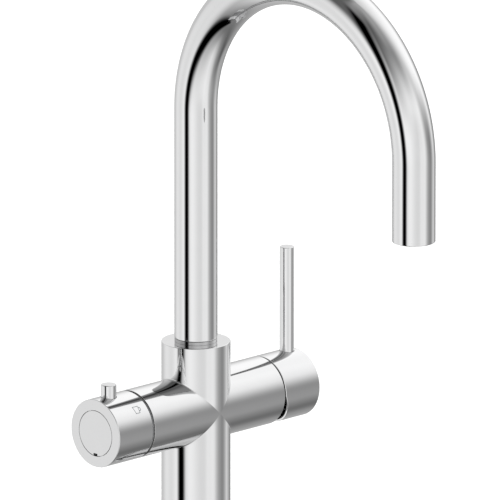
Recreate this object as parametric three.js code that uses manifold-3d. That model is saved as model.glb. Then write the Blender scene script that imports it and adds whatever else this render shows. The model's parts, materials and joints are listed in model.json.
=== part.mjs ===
// A deck-mounted kitchen tap that pours mixed hot and cold water, and boiling water, from one spout.
// Millimetres, +Z up. The origin is the centre of the base, on the worktop. The spout points along -Y,
// the boiling-water knob is on the -X arm of the barrel and the mixer lever is on the +X arm.
import * as THREE from 'three';
import { mergeVertices } from 'three/addons/utils/BufferGeometryUtils.js';
import Module from 'manifold-3d';

const wasm = await Module();
wasm.setup();

// ---- Clearances ----

const SEAT_GAP = 0.3; // between two pieces that touch
const PLAY = 0.3; // radial play of a piece in its bore
const OVERSHOOT = 1; // length by which a cutting shape passes the face that it cuts
const MERGE_DISTANCE = 1e-4; // corners closer than this are one corner

// ---- Driving dimensions: outside ----

const BODY_RADIUS = 24; // column and barrel alike
const BARREL_HEIGHT = 90; // barrel axis above the worktop
const COLLAR_HEIGHT = 48; // top of the column above the barrel axis
const ARM_LENGTH = 63.5; // column axis to the open end of each arm
const CONTROL_REACH = 33.9; // end of each arm to the flat end of its control
const HANDLE_SEAM = 1; // gap between the arm and the mixer handle
const KNOB_SEAM = 1.7; // gap between the arm and the boiling-water knob
const EDGE_CHAMFER = 0.4;

const TUBE_RADIUS = 15;
const TUBE_WALL = 1.5;
const RISER_TOP = 215; // where the arch starts, above the barrel axis
const ARCH_RADIUS = 106.2; // of the centre line
const OUTLET_DROP = 55.6; // straight length from the arch down to the outlet

const LEVER_RADIUS = 4.75;
const LEVER_TOP = 97.5; // above the barrel axis
const LEVER_INSET = 9; // lever axis from the handle's flat end
const PIN_RADIUS = 5.25;
const PIN_TOP = 31.7; // above the barrel axis
const PIN_INSET = 11.9; // pin axis from the knob's flat end

// ---- Driving dimensions: base and fixings under the worktop ----

const BASE_RING_RADIUS = 26;
const BASE_RING_HEIGHT = 4;
const BASE_GASKET_OUTER = 22.7;
const BASE_GASKET_INNER = 19.3;
const BASE_GASKET_HEIGHT = 1.7;
const SHANK_RADIUS = 16.5; // fits a 35 mm tap hole
const SHANK_BORE_RADIUS = 13; // the three hoses pass through it
const SHANK_DEPTH = 60; // below the worktop's upper face
const SHANK_ENGAGEMENT = 12; // length screwed into the column
const WORKTOP_THICKNESS = 38; // clamped between the base ring and the rubber washer
const WASHER_RADIUS = 26;
const RUBBER_WASHER_HEIGHT = 3;
const STEEL_WASHER_HEIGHT = 2;
const NUT_ACROSS_FLATS = 44;
const NUT_HEIGHT = 10;

// ---- Driving dimensions: waterways in the body ----

const INLET_RADIUS = 4.5; // M10 hose thread
const INLET_CIRCLE = 7.3; // the three inlets stand on this radius
const INLET_DEPTH = 12;
const INLET_ANGLE = 60; // degrees from the mixer's arm to the cold and the hot inlet
const INLET_BOSS_HEIGHT = 4; // length of the inlets' boss inside the shank
const WATERWAY_RADIUS = 3;
const BOILING_WAY_RADIUS = 1.8;
const MIXED_WAY_RADIUS = 2.6;
const MIXED_WAY_OFFSET = 9.2; // column axis to the rising drilling of the mixed water
const MIXED_PORT_DROP = 8.5; // mixed-water port below the barrel axis
const BOILING_PORT_RISE = 5.8; // boiling-water outlet port above the barrel axis

// ---- Driving dimensions: spout socket, sleeve and inner pipe ----

const SOCKET_RADIUS = 12.5;
const SOCKET_DEPTH = 26;
const SLEEVE_BORE_RADIUS = 9;
const SLEEVE_LIFT = 2; // room for water under the sleeve
const SLEEVE_SPIGOT_LENGTH = 15; // length inside the spout tube
const SWIVEL_RING_HEIGHT = 2.4;
const SWIVEL_RING_RADIUS = 14.6;
const SPOUT_SWIVEL_LIMIT = 75; // degrees to each side
const STOP_GROOVE_MARGIN = 2; // degrees of stop groove beyond the limit
const ORING_SECTION = 0.8; // radius of an O-ring's round section
const STOP_HEIGHT = 10; // set screw axis above the socket's floor
const ORING_RISE_LOWER = 4; // O-ring planes above the socket's floor
const ORING_RISE_UPPER = 18.5;
const SET_SCREW_RADIUS = 2.5;
const SET_SCREW_TIP_RADIUS = 1.8;
const SET_SCREW_RECESS = 1.5; // screw head below the column's surface
const STOP_GROOVE_DEPTH = 2;
const PIPE_RADIUS = 4; // boiling-water pipe inside the spout
const PIPE_WALL = 1;
const PIPE_SEAT_DEPTH = 8; // below the socket's floor
const PIPE_SEAL_DEPTH = 3; // counterbore for the pipe's O-ring
const PIPE_SEAL_RADIUS = 6;

// ---- Driving dimensions: outlet ----

const AERATOR_HEIGHT = 12;
const AERATOR_RECESS = 0.6; // its lower face above the outlet's rim
const AERATOR_WALL = 1.8;
const AERATOR_SEAL_RISE = 9; // O-ring plane above the aerator's lower face
const GRILLE_HEIGHT = 2;
const GRILLE_LEDGE = 0.9; // width and height of the lip that carries the grille
const GRILLE_CELL = 2.3; // across the flats of a honeycomb hole
const GRILLE_RIB = 0.5;
const NOZZLE_RADIUS = 5.2;
const NOZZLE_BORE_RADIUS = 2.5;
const NOZZLE_HEIGHT = 8;
const NOZZLE_SEAT = 2.4; // pipe's end above the nozzle's lower face
const NOZZLE_FLANGE = 1.4; // width and height of the flange above the grille

// ---- Driving dimensions: mixer cartridge, stem and handle ----

const CARTRIDGE_RADIUS = 17.5; // a 35 mm cartridge
const CARTRIDGE_LENGTH = 24.7;
const CARTRIDGE_WALL = 2.2;
const CARTRIDGE_CROWN = 4; // thickness of its outer end
const CARTRIDGE_NECK_RADIUS = 10; // turning neck that carries the stem
const CARTRIDGE_NECK_PROUD = 4; // neck beyond the crown
const THREAD_RADIUS = 20.2; // wide bore at the end of both arms
const THREAD_RUN = 2; // length of the wide bore beyond the cartridge's outer face
const CARTRIDGE_NUT_BORE = 12.6;
const CARTRIDGE_NUT_LENGTH = 5.7;
const NUT_RECESS = 1.5; // nut's outer face inside the arm's end
const NUT_NOTCHES = 4;
const NUT_NOTCH_WIDTH = 4;
const NUT_NOTCH_REACH = 4; // beyond the nut's bore
const NUT_NOTCH_DEPTH = 1.8;
const PORT_SEAL_HEIGHT = 1.2;
const PORT_PLATE_HEIGHT = 2.9;
const FIXED_DISC_HEIGHT = 4.7;
const MOVING_DISC_RADIUS = 12;
const MOVING_DISC_HEIGHT = 5;
const PORT_RADIUS = 2.4;
const DISC_POCKET_DEPTH = 1.2; // hollow in the moving disc that joins the ports
const DISC_POCKET_HEIGHT = 3.8; // of the hollow's wide part
const DISC_POCKET_WIDTH = 16.4;
const DRIVE_BLOCK_HEIGHT = 3.5;
const DRIVE_BLOCK_WIDTH = 13;
const STEM_WIDTH = 8; // square
const STEM_BALL_RADIUS = 2.5;
const STEM_BALL_REACH = 9; // pivot to the ball's centre
const STEM_NECK_RADIUS = 1.4;
const STEM_NECK_LENGTH = 1.7; // ball to the square shank
const STEM_TILT_PLAY = 0.4; // to each side of the tilted shank in its slot
const STEM_PIN_RADIUS = 1.5;
const TILT_LIMIT = 18; // degrees the lever tilts outwards
const HANDLE_WALL = 2.2;
const HANDLE_END_WALL = 6;
const HUB_RADIUS = 9;
const BEVEL_ANGLE = 20; // degrees, lower half of the handle's mouth
const STEM_END_INSET = 13.4; // stem's end inside the handle's flat end
const LEVER_STUD_RADIUS = 3;
const LEVER_STUD_LENGTH = 4.6;
const KEY_FLATS = 2.5; // hexagon sockets of all screws
const KEY_DEPTH = 3;
const HANDLE_SCREW_RADIUS = 2.5;
const HANDLE_SCREW_LENGTH = 6;
const HANDLE_SCREW_INSET = 18.4; // screw axis from the handle's flat end
const PLUG_RADIUS = 3.2;

// ---- Driving dimensions: boiling-water valve, spindle and knob ----

const VALVE_RADIUS = 11;
const VALVE_WALL = 2;
const VALVE_CAVITY_LENGTH = 11.7;
const VALVE_GUIDE_LENGTH = 9.3; // solid length between the disc cavity and the hexagon
const VALVE_SHOULDER = 11.5; // hexagon's inner face inside the arm's end
const VALVE_HEX_FLATS = 22;
const VALVE_HEX_LENGTH = 4.7;
const VALVE_NECK_RADIUS = 8;
const VALVE_NECK_RECESS = 1.5; // neck's end inside the arm's end
const VALVE_SEAL_HEIGHT = 2;
const VALVE_DISC_HEIGHT = 3.4;
const VALVE_POCKET_DEPTH = 0.8;
const SPINDLE_RADIUS = 4;
const SPINDLE_BLADE_WIDTH = 3;
const SPINDLE_BLADE_LENGTH = 10;
const SPINDLE_BLADE_DEPTH = 1.8;
const SPINDLE_SQUARE = 5.6;
const SPINDLE_END_INSET = 11.4; // spindle's end inside the knob's flat end
const SPINDLE_SEAL_DEPTH = 11; // O-ring plane inside the arm's end
const STOP_RING_HEIGHT = 6.2;
const STOP_SLOT_DEPTH = 3;
const STOP_SLOT_CIRCLE = 16.5;
const STOP_PEG_RADIUS = 1.6;
const STOP_PEG_ENGAGEMENT = 1.1;
const STOP_PEG_ANGLE = Math.PI; // the peg hangs below the spindle at rest
const STOP_SLOT_MARGIN = 1; // degrees of slot beyond the knob's turn
const KNOB_TURN = 90; // degrees
const KNOB_PUSH = 1.4; // travel towards the body
const KNOB_WALL = 2.2;
const COVER_RADIUS = 16;
const COVER_HEIGHT = 2.7;
const COVER_NOTCH_WIDTH = 4.4;
const COVER_NOTCH_DEPTH = 1.8;
const KNOB_FLOOR = 3; // metal between the cover and the inside of the knob
const INSERT_FLANGE_INSET = 1.8; // flange inside the knob's mouth
const INSERT_FLANGE_HEIGHT = 3;
const INSERT_HUB_RADIUS = 10;
const KNOB_SCREW_RADIUS = 1.5;
const KNOB_SCREW_LENGTH = 10;
const KNOB_SCREW_HEAD_RADIUS = 3.4;
const KNOB_SCREW_HEAD_HEIGHT = 3;
const KNOB_SCREW_KEY_DEPTH = 1.6;
const KNOB_WASHER_RADIUS = 6.5;
const KNOB_WASHER_PLAY = 1; // around the washer, inside the insert and the shell
const KNOB_WASHER_HEIGHT = 1.2;
const SPRING_RADIUS = 6.2; // centre line of the wire
const SPRING_WIRE = 0.6; // wire radius
const SPRING_TURNS = 4.5;
const SPRING_LENGTH = 7.7;

// ---- Smoothness ----

const OUTER_SIDES = 36; // column, barrel and controls
const ROUND_SIDES = 20;
const SMALL_SIDES = 16;
const DRILL_SIDES = 10;
const ARC_STEPS = 10; // of a slot that follows an arc
const LEVER_SIDES = 20;
const TUBE_SIDES = 28;
const TUBE_BORE_SIDES = 16;
const PIPE_SIDES = 8;
const PIPE_BORE_SIDES = 6;
const SECTION_SIDES = 5; // an O-ring's or a wire's section
const ARCH_STEPS = 20;
const PIPE_ARCH_STEPS = 14;
const SPRING_STEPS_PER_TURN = 8;

// ---- Solids and booleans: every shape below is a closed BufferGeometry ----

/** Gives a geometry as a solid: shared vertices merged, slivers dropped and faces pointing out. */
function toSolid(geometry) {
  const bare = geometry.clone();
  bare.deleteAttribute('normal');
  bare.deleteAttribute('uv');
  const merged = mergeVertices(bare, MERGE_DISTANCE);
  const { array } = merged.attributes.position;
  const corners = [];
  let volume = 0;
  const [a, b, c] = [new THREE.Vector3(), new THREE.Vector3(), new THREE.Vector3()];
  for (let i = 0; i < merged.index.count; i += 3) {
    const triangle = [merged.index.getX(i), merged.index.getX(i + 1), merged.index.getX(i + 2)];
    if (new Set(triangle).size < 3) continue;
    corners.push(...triangle);
    [a, b, c].forEach((point, k) => point.fromArray(array, 3 * triangle[k]));
    volume += a.dot(b.cross(c));
  }
  if (volume < 0) corners.reverse();
  const [vertProperties, triVerts] = [new Float32Array(array), new Uint32Array(corners)];
  return new wasm.Manifold(new wasm.Mesh({ numProp: 3, vertProperties, triVerts }));
}

function fromSolid(solid) {
  const mesh = solid.getMesh();
  const geometry = new THREE.BufferGeometry();
  geometry.setAttribute('position', new THREE.BufferAttribute(mesh.vertProperties, 3));
  geometry.setIndex(new THREE.BufferAttribute(mesh.triVerts, 1));
  return geometry;
}

const join = (...shapes) => fromSolid(shapes.map(toSolid).reduce((all, next) => all.add(next)));

function cut(base, ...tools) {
  return fromSolid(tools.map(toSolid).reduce((rest, tool) => rest.subtract(tool), toSolid(base)));
}

// ---- Basic shapes, about or along the Z axis ----

/** Turns an outline of [radius, height] points. It starts and ends on the axis, or closes on itself. */
function turned(outline, sides = ROUND_SIDES) {
  const points = outline.map(([radius, height]) => new THREE.Vector2(radius, height));
  const onAxis = points[0].x === 0 && points.at(-1).x === 0;
  if (!onAxis) points.push(points[0].clone());
  return new THREE.LatheGeometry(points, sides).rotateX(Math.PI / 2);
}

const rod = (radius, from, to, sides) => turned([[0, from], [radius, from], [radius, to], [0, to]], sides);

const ring = (outer, inner, from, to, sides) =>
  turned([[inner, from], [outer, from], [outer, to], [inner, to]], sides);

function extruded(shape, from, to) {
  const settings = { depth: to - from, bevelEnabled: false, curveSegments: ARC_STEPS };
  return new THREE.ExtrudeGeometry(shape, settings).translate(0, 0, from);
}

/** A regular polygon's corners; the first lies at the given angle. */
function polygonPoints(sides, radius, startAngle = 0, centre = [0, 0]) {
  return Array.from({ length: sides }, (_, k) => {
    const angle = startAngle + (2 * Math.PI * k) / sides;
    return new THREE.Vector2(centre[0] + radius * Math.cos(angle), centre[1] + radius * Math.sin(angle));
  });
}

const hexagon = (acrossFlats, from, to) =>
  extruded(new THREE.Shape(polygonPoints(6, acrossFlats / Math.sqrt(3))), from, to);

/** A box given by its centre in X and Y, its widths, and its lower and upper end. */
function block(x, y, widthX, widthY, from, to) {
  return new THREE.BoxGeometry(widthX, widthY, to - from).translate(x, y, (from + to) / 2);
}

/** A piece of a ring that spans halfAngle to each side of centreAngle, in radians. */
function arcSlot(outer, inner, centreAngle, halfAngle, from, to) {
  const shape = new THREE.Shape();
  shape.absarc(0, 0, outer, centreAngle - halfAngle, centreAngle + halfAngle, false);
  shape.absarc(0, 0, inner, centreAngle + halfAngle, centreAngle - halfAngle, true);
  return extruded(shape, from, to);
}

/** A round ring of circular section. */
function oring(radius, height, section, sides) {
  const profile = polygonPoints(SECTION_SIDES, section, Math.PI / 2, [radius, height]);
  return turned(profile.map((point) => [point.x, point.y]), sides);
}

const uprightToX = (geometry) => geometry.rotateY(Math.PI / 2);
const uprightToY = (geometry) => geometry.rotateX(-Math.PI / 2);

/** A drilling along X, Y or Z. The other two coordinates place its axis. */
const drillX = (radius, from, to, y, z) => uprightToX(rod(radius, from, to, DRILL_SIDES)).translate(0, y, z);
const drillY = (radius, from, to, x, z) => uprightToY(rod(radius, from, to, DRILL_SIDES)).translate(x, 0, z);
const drillZ = (radius, from, to, x, y) => rod(radius, from, to, DRILL_SIDES).translate(x, y, 0);

const radians = (degrees) => (degrees * Math.PI) / 180;

// ---- Finishes ----

const finish = (color, roughness, metalness) => () =>
  new THREE.MeshStandardMaterial({ color, roughness, metalness });
const chrome = finish(0xd9dcde, 0.07, 1);
const brass = finish(0xc2a05a, 0.35, 1);
const steel = finish(0xb4b7ba, 0.3, 1);
const rubber = finish(0x1c1c1e, 0.8, 0);
const plastic = finish(0xd8d6cf, 0.5, 0);
const greyPlastic = finish(0x8e9194, 0.5, 0);
const ceramic = finish(0xf2efe6, 0.2, 0);

function piece(name, finishOf, geometry) {
  const tidy = fromSolid(toSolid(geometry));
  tidy.computeVertexNormals();
  const mesh = new THREE.Mesh(tidy, finishOf());
  mesh.name = name;
  return mesh;
}

function groupOf(...children) {
  const group = new THREE.Group();
  group.add(...children);
  return group;
}

// ---- Places that several pieces share ----

const collarTop = BARREL_HEIGHT + COLLAR_HEIGHT;
const socketFloor = collarTop - SOCKET_DEPTH;
const bodyBottom = BASE_RING_HEIGHT + SEAT_GAP;
const shankBore = SHANK_RADIUS + PLAY; // every bore that the shank passes through
const shankTop = bodyBottom + SHANK_ENGAGEMENT;
const inletFace = shankTop - INLET_BOSS_HEIGHT;

const tubeBore = TUBE_RADIUS - TUBE_WALL;
const tubeBottom = collarTop + SEAT_GAP + SWIVEL_RING_HEIGHT + SEAT_GAP;
const archStart = BARREL_HEIGHT + RISER_TOP;
const outletHeight = archStart - OUTLET_DROP;
const outletReach = 2 * ARCH_RADIUS;

// Distances along an arm, from the column's axis
const barrelEnd = ARM_LENGTH + CONTROL_REACH;
const nutOuter = ARM_LENGTH - NUT_RECESS;
const nutInner = nutOuter - CARTRIDGE_NUT_LENGTH;
const cartridgeOuter = nutInner - SEAT_GAP;
const cartridgeInner = cartridgeOuter - CARTRIDGE_LENGTH;
const cartridgeFloor = cartridgeInner - SEAT_GAP;
const tiltPivot = cartridgeOuter;
const handleMouth = ARM_LENGTH + HANDLE_SEAM;

const valveShoulder = ARM_LENGTH - VALVE_SHOULDER; // floor of the wide bore on the knob's side
const valveHexInner = valveShoulder + SEAT_GAP;
const cavityOuter = valveHexInner - VALVE_GUIDE_LENGTH;
const valveInner = cavityOuter - VALVE_CAVITY_LENGTH;
const valveFloor = valveInner - SEAT_GAP;
const valveNeckEnd = ARM_LENGTH - VALVE_NECK_RECESS;
const knobMouth = ARM_LENGTH + KNOB_SEAM;
const knobRecess = barrelEnd - COVER_HEIGHT - SEAT_GAP;
const spindleEnd = barrelEnd - SPINDLE_END_INSET;

// The three hose inlets: cold and hot feed the mixer's arm, the third feeds the boiling-water valve
const inletSpread = INLET_CIRCLE * Math.sin(radians(INLET_ANGLE));
const inletSide = INLET_CIRCLE * Math.cos(radians(INLET_ANGLE));
const inlets = [[inletSide, -inletSpread], [inletSide, inletSpread], [-INLET_CIRCLE, 0]];
const mixerPorts = [[0, -inletSpread], [0, inletSpread], [-MIXED_PORT_DROP, 0]];

// ---- Body ----

/** The outside of the casting: a column crossed by a barrel of the same radius. */
function bodyOutside() {
  const c = EDGE_CHAMFER;
  const column = turned([
    [0, bodyBottom], [BODY_RADIUS, bodyBottom],
    [BODY_RADIUS, collarTop - c], [BODY_RADIUS - c, collarTop], [0, collarTop],
  ], OUTER_SIDES);
  const barrel = turned([
    [0, -ARM_LENGTH], [BODY_RADIUS - c, -ARM_LENGTH], [BODY_RADIUS, c - ARM_LENGTH],
    [BODY_RADIUS, ARM_LENGTH - c], [BODY_RADIUS - c, ARM_LENGTH], [0, ARM_LENGTH],
  ], OUTER_SIDES);
  return join(column, uprightToX(barrel).translate(0, 0, BARREL_HEIGHT));
}

/** Drillings that lead cold and hot water to the mixer and mixed water up to the spout. */
function mixerWaterways() {
  const rise = BARREL_HEIGHT + WATERWAY_RADIUS;
  const feeds = [-inletSpread, inletSpread].flatMap((y) => [
    drillZ(WATERWAY_RADIUS, inletFace, rise, inletSide, y),
    drillX(WATERWAY_RADIUS, inletSide, cartridgeFloor + OVERSHOOT, y, BARREL_HEIGHT),
  ]);
  const portHeight = BARREL_HEIGHT - MIXED_PORT_DROP;
  const riseBottom = portHeight - MIXED_WAY_RADIUS;
  return [
    ...feeds,
    drillX(MIXED_WAY_RADIUS, MIXED_WAY_OFFSET, cartridgeFloor + OVERSHOOT, 0, portHeight),
    drillZ(MIXED_WAY_RADIUS, riseBottom, socketFloor + OVERSHOOT, MIXED_WAY_OFFSET, 0),
  ];
}

/** Drillings that lead boiling water to its valve and on to the pipe's seat. */
function boilingWaterways() {
  const portHeight = BARREL_HEIGHT + BOILING_PORT_RISE;
  const seatBottom = socketFloor - PIPE_SEAT_DEPTH;
  const start = -valveFloor - OVERSHOOT;
  return [
    drillZ(WATERWAY_RADIUS, inletFace, BARREL_HEIGHT + BOILING_WAY_RADIUS, -INLET_CIRCLE, 0),
    drillX(BOILING_WAY_RADIUS, start, -INLET_CIRCLE, 0, BARREL_HEIGHT),
    drillX(BOILING_WAY_RADIUS, start, 0, 0, portHeight),
    drillZ(BOILING_WAY_RADIUS, portHeight - BOILING_WAY_RADIUS, seatBottom + OVERSHOOT, 0, 0),
  ];
}

/** The stepped bore at the top that holds the spout's sleeve, the pipe and the pipe's O-ring. */
function spoutSocket() {
  const pipeSeat = PIPE_RADIUS + PLAY;
  return turned([
    [0, socketFloor - PIPE_SEAT_DEPTH], [pipeSeat, socketFloor - PIPE_SEAT_DEPTH],
    [pipeSeat, socketFloor - PIPE_SEAL_DEPTH], [PIPE_SEAL_RADIUS, socketFloor - PIPE_SEAL_DEPTH],
    [PIPE_SEAL_RADIUS, socketFloor], [SOCKET_RADIUS, socketFloor],
    [SOCKET_RADIUS, collarTop + OVERSHOOT], [0, collarTop + OVERSHOOT],
  ]);
}

/** The bore that the shank screws into. Inside the shank, a boss carries the three inlets. */
function shankSocket() {
  const bottom = bodyBottom - OVERSHOOT;
  const top = shankTop + SEAT_GAP;
  const bossRadius = SHANK_BORE_RADIUS - PLAY;
  return turned([
    [0, bottom], [shankBore, bottom], [shankBore, top],
    [bossRadius, top], [bossRadius, inletFace], [0, inletFace],
  ]);
}

/** A stepped bore in the end of an arm, given along the arm: a chamber and the wide bore outside it. */
function armBore(chamberRadius, floor, shoulder) {
  return turned([
    [0, floor], [chamberRadius, floor], [chamberRadius, shoulder],
    [THREAD_RADIUS, shoulder], [THREAD_RADIUS, ARM_LENGTH + OVERSHOOT], [0, ARM_LENGTH + OVERSHOOT],
  ]);
}

function bodyCasting() {
  const mixerBore = armBore(CARTRIDGE_RADIUS + PLAY, cartridgeFloor, cartridgeOuter - THREAD_RUN);
  const valveBore = armBore(VALVE_RADIUS + PLAY, valveFloor, valveShoulder);
  const stopPlane = socketFloor + STOP_HEIGHT;
  return piece('body_casting', chrome, cut(
    bodyOutside(),
    shankSocket(),
    ...inlets.map(([x, y]) => drillZ(INLET_RADIUS, inletFace - OVERSHOOT, inletFace + INLET_DEPTH, x, y)),
    uprightToX(mixerBore).translate(0, 0, BARREL_HEIGHT),
    uprightToX(valveBore).rotateZ(Math.PI).translate(0, 0, BARREL_HEIGHT),
    spoutSocket(),
    ...mixerWaterways(),
    ...boilingWaterways(),
    drillY(SET_SCREW_RADIUS + PLAY, SOCKET_RADIUS - OVERSHOOT, BODY_RADIUS + OVERSHOOT, 0, stopPlane),
  ));
}

// ---- Base and fixings ----

function baseRing() {
  const c = EDGE_CHAMFER;
  const body = turned([
    [shankBore, 0], [BASE_RING_RADIUS, 0], [BASE_RING_RADIUS, BASE_RING_HEIGHT - c],
    [BASE_RING_RADIUS - c, BASE_RING_HEIGHT], [shankBore, BASE_RING_HEIGHT],
  ], OUTER_SIDES);
  const groove = ring(
    BASE_GASKET_OUTER + SEAT_GAP, BASE_GASKET_INNER - SEAT_GAP, -OVERSHOOT, BASE_GASKET_HEIGHT + SEAT_GAP,
  );
  return piece('base_ring', chrome, cut(body, groove));
}

function shankNut(top) {
  const bottom = top - NUT_HEIGHT;
  const hole = rod(shankBore, bottom - OVERSHOOT, top + OVERSHOOT);
  return piece('shank_nut', brass, cut(hexagon(NUT_ACROSS_FLATS, bottom, top), hole));
}

function deckFixings() {
  const rubberTop = -WORKTOP_THICKNESS;
  const rubberBottom = rubberTop - RUBBER_WASHER_HEIGHT;
  const steelTop = rubberBottom - SEAT_GAP;
  const steelBottom = steelTop - STEEL_WASHER_HEIGHT;
  return [
    baseRing(),
    piece('base_gasket', rubber, ring(BASE_GASKET_OUTER, BASE_GASKET_INNER, 0, BASE_GASKET_HEIGHT)),
    piece('mounting_shank', brass, ring(SHANK_RADIUS, SHANK_BORE_RADIUS, -SHANK_DEPTH, shankTop)),
    piece('deck_washer_rubber', rubber, ring(WASHER_RADIUS, shankBore, rubberBottom, rubberTop)),
    piece('deck_washer_steel', steel, ring(WASHER_RADIUS, shankBore, steelBottom, steelTop)),
    shankNut(steelBottom - SEAT_GAP),
  ];
}

// ---- Spout ----

/** The swan neck's centre line: riser, arch and drop. Each straight length takes a single step. */
class SwanNeckCurve extends THREE.Curve {
  constructor(bottom, end, archSteps) {
    super();
    Object.assign(this, { bottom, end, archSteps });
    this.steps = archSteps + 2;
  }

  getUtoTmapping(u) {
    return u;
  }

  archAngle(t) {
    return THREE.MathUtils.clamp((t * this.steps - 1) / this.archSteps, 0, 1) * Math.PI;
  }

  getPoint(t) {
    const step = t * this.steps;
    const angle = this.archAngle(t);
    const toRiser = Math.max(1 - step, 0) * (archStart - this.bottom);
    const toOutlet = Math.max(step - this.archSteps - 1, 0) * (archStart - this.end);
    const height = archStart + ARCH_RADIUS * Math.sin(angle) - toRiser - toOutlet;
    return new THREE.Vector3(0, ARCH_RADIUS * (Math.cos(angle) - 1), height);
  }

  getTangent(t) {
    const angle = this.archAngle(t);
    return new THREE.Vector3(0, -Math.sin(angle), Math.cos(angle));
  }
}

/** A tube bent along the swan neck. */
function bentTube(radius, bore, path, sides, boreSides) {
  const section = new THREE.Shape(polygonPoints(sides, radius));
  section.holes.push(new THREE.Path(polygonPoints(boreSides, bore)));
  return new THREE.ExtrudeGeometry(section, { steps: path.steps, extrudePath: path, bevelEnabled: false });
}

/** The brass bush that turns in the body's socket, with two O-ring grooves and the stop groove. */
function spoutSleeve() {
  const radius = SOCKET_RADIUS - PLAY;
  const [bottom, top] = [socketFloor + SLEEVE_LIFT, tubeBottom + SLEEVE_SPIGOT_LENGTH];
  const body = turned([
    [SLEEVE_BORE_RADIUS, bottom], [radius, bottom], [radius, tubeBottom],
    [tubeBore - PLAY, tubeBottom], [tubeBore - PLAY, top], [SLEEVE_BORE_RADIUS, top],
  ]);
  const grooves = [ORING_RISE_LOWER, ORING_RISE_UPPER].map((rise) => {
    const half = ORING_SECTION + SEAT_GAP;
    const floor = SOCKET_RADIUS - 2 * ORING_SECTION - 2 * SEAT_GAP;
    return ring(radius + OVERSHOOT, floor, socketFloor + rise - half, socketFloor + rise + half);
  });
  const stopPlane = socketFloor + STOP_HEIGHT;
  const halfGroove = SET_SCREW_TIP_RADIUS + PLAY;
  const tipAngle = Math.asin(SET_SCREW_TIP_RADIUS / (radius - STOP_GROOVE_DEPTH));
  const stopGroove = arcSlot(
    radius + OVERSHOOT, radius - STOP_GROOVE_DEPTH,
    Math.PI / 2, radians(SPOUT_SWIVEL_LIMIT + STOP_GROOVE_MARGIN) + tipAngle,
    stopPlane - halfGroove, stopPlane + halfGroove,
  );
  return piece('spout_sleeve', brass, cut(body, ...grooves, stopGroove));
}

function spoutSetScrew() {
  const tipEnd = SOCKET_RADIUS - PLAY - STOP_GROOVE_DEPTH + SEAT_GAP;
  const head = BODY_RADIUS - SET_SCREW_RECESS;
  const taper = SET_SCREW_RADIUS - SET_SCREW_TIP_RADIUS;
  const screw = turned([
    [0, tipEnd], [SET_SCREW_TIP_RADIUS, tipEnd], [SET_SCREW_TIP_RADIUS, SOCKET_RADIUS],
    [SET_SCREW_RADIUS, SOCKET_RADIUS + taper], [SET_SCREW_RADIUS, head], [0, head],
  ], SMALL_SIDES);
  const key = hexagon(KEY_FLATS, head - KEY_DEPTH, BODY_RADIUS);
  const placed = uprightToY(cut(screw, key)).translate(0, 0, socketFloor + STOP_HEIGHT);
  return piece('spout_set_screw', steel, placed);
}

function sleeveOring(name, rise) {
  const radius = SOCKET_RADIUS - SEAT_GAP / 2 - ORING_SECTION;
  return piece(name, rubber, oring(radius, socketFloor + rise, ORING_SECTION, ROUND_SIDES));
}

// ---- Outlet: aerator and boiling-water nozzle ----

const aeratorBottom = outletHeight + AERATOR_RECESS;
const aeratorRadius = tubeBore - PLAY;
const grilleBottom = aeratorBottom + GRILLE_LEDGE + SEAT_GAP;
const grilleTop = grilleBottom + GRILLE_HEIGHT;
const pipeEnd = aeratorBottom + NOZZLE_SEAT + SEAT_GAP;
const aeratorSeal = aeratorBottom + AERATOR_SEAL_RISE;
const thinSection = ORING_SECTION / 2; // of the aerator's and the spindle's O-rings
const thinGrooveDepth = ORING_SECTION + SEAT_GAP;

/** A groove for a thin O-ring, cut into a shaft of the given radius. */
function thinGroove(radius, height, sides) {
  const half = thinSection + SEAT_GAP;
  return ring(radius + OVERSHOOT, radius - thinGrooveDepth, height - half, height + half, sides);
}

/** The aerator's ring. A lip inside its lower end carries the grille, a groove outside holds an O-ring. */
function aeratorHousing() {
  const inner = aeratorRadius - AERATOR_WALL;
  const top = aeratorBottom + AERATOR_HEIGHT;
  const body = turned([
    [inner - GRILLE_LEDGE, aeratorBottom], [aeratorRadius, aeratorBottom], [aeratorRadius, top], [inner, top],
    [inner, aeratorBottom + GRILLE_LEDGE], [inner - GRILLE_LEDGE, aeratorBottom + GRILLE_LEDGE],
  ]);
  const groove = thinGroove(aeratorRadius, aeratorSeal, ROUND_SIDES);
  return piece('aerator_housing', plastic, cut(body, groove));
}

/** A honeycomb plate with a round hole in the middle for the boiling-water nozzle. */
function aeratorGrille() {
  const radius = aeratorRadius - AERATOR_WALL - SEAT_GAP;
  const hole = NOZZLE_RADIUS + SEAT_GAP;
  const plate = new THREE.Shape(polygonPoints(ROUND_SIDES, radius));
  plate.holes.push(new THREE.Path(polygonPoints(SMALL_SIDES, hole)));
  const pitch = GRILLE_CELL + GRILLE_RIB;
  const cellRadius = GRILLE_CELL / Math.sqrt(3);
  const rowStep = (pitch * Math.sqrt(3)) / 2;
  const rows = Math.ceil(radius / rowStep);
  for (let row = -rows; row <= rows; row += 1) {
    for (let column = -rows - 1; column <= rows; column += 1) {
      const centre = [(column + (row % 2 ? 0.5 : 0)) * pitch, row * rowStep];
      const distance = Math.hypot(...centre);
      const clearInside = distance - cellRadius > hole + GRILLE_RIB;
      const clearOutside = distance + cellRadius < radius - GRILLE_RIB;
      if (clearInside && clearOutside) {
        plate.holes.push(new THREE.Path(polygonPoints(6, cellRadius, Math.PI / 6, centre)));
      }
    }
  }
  return piece('aerator_grille', plastic, extruded(plate, grilleBottom, grilleTop));
}

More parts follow.
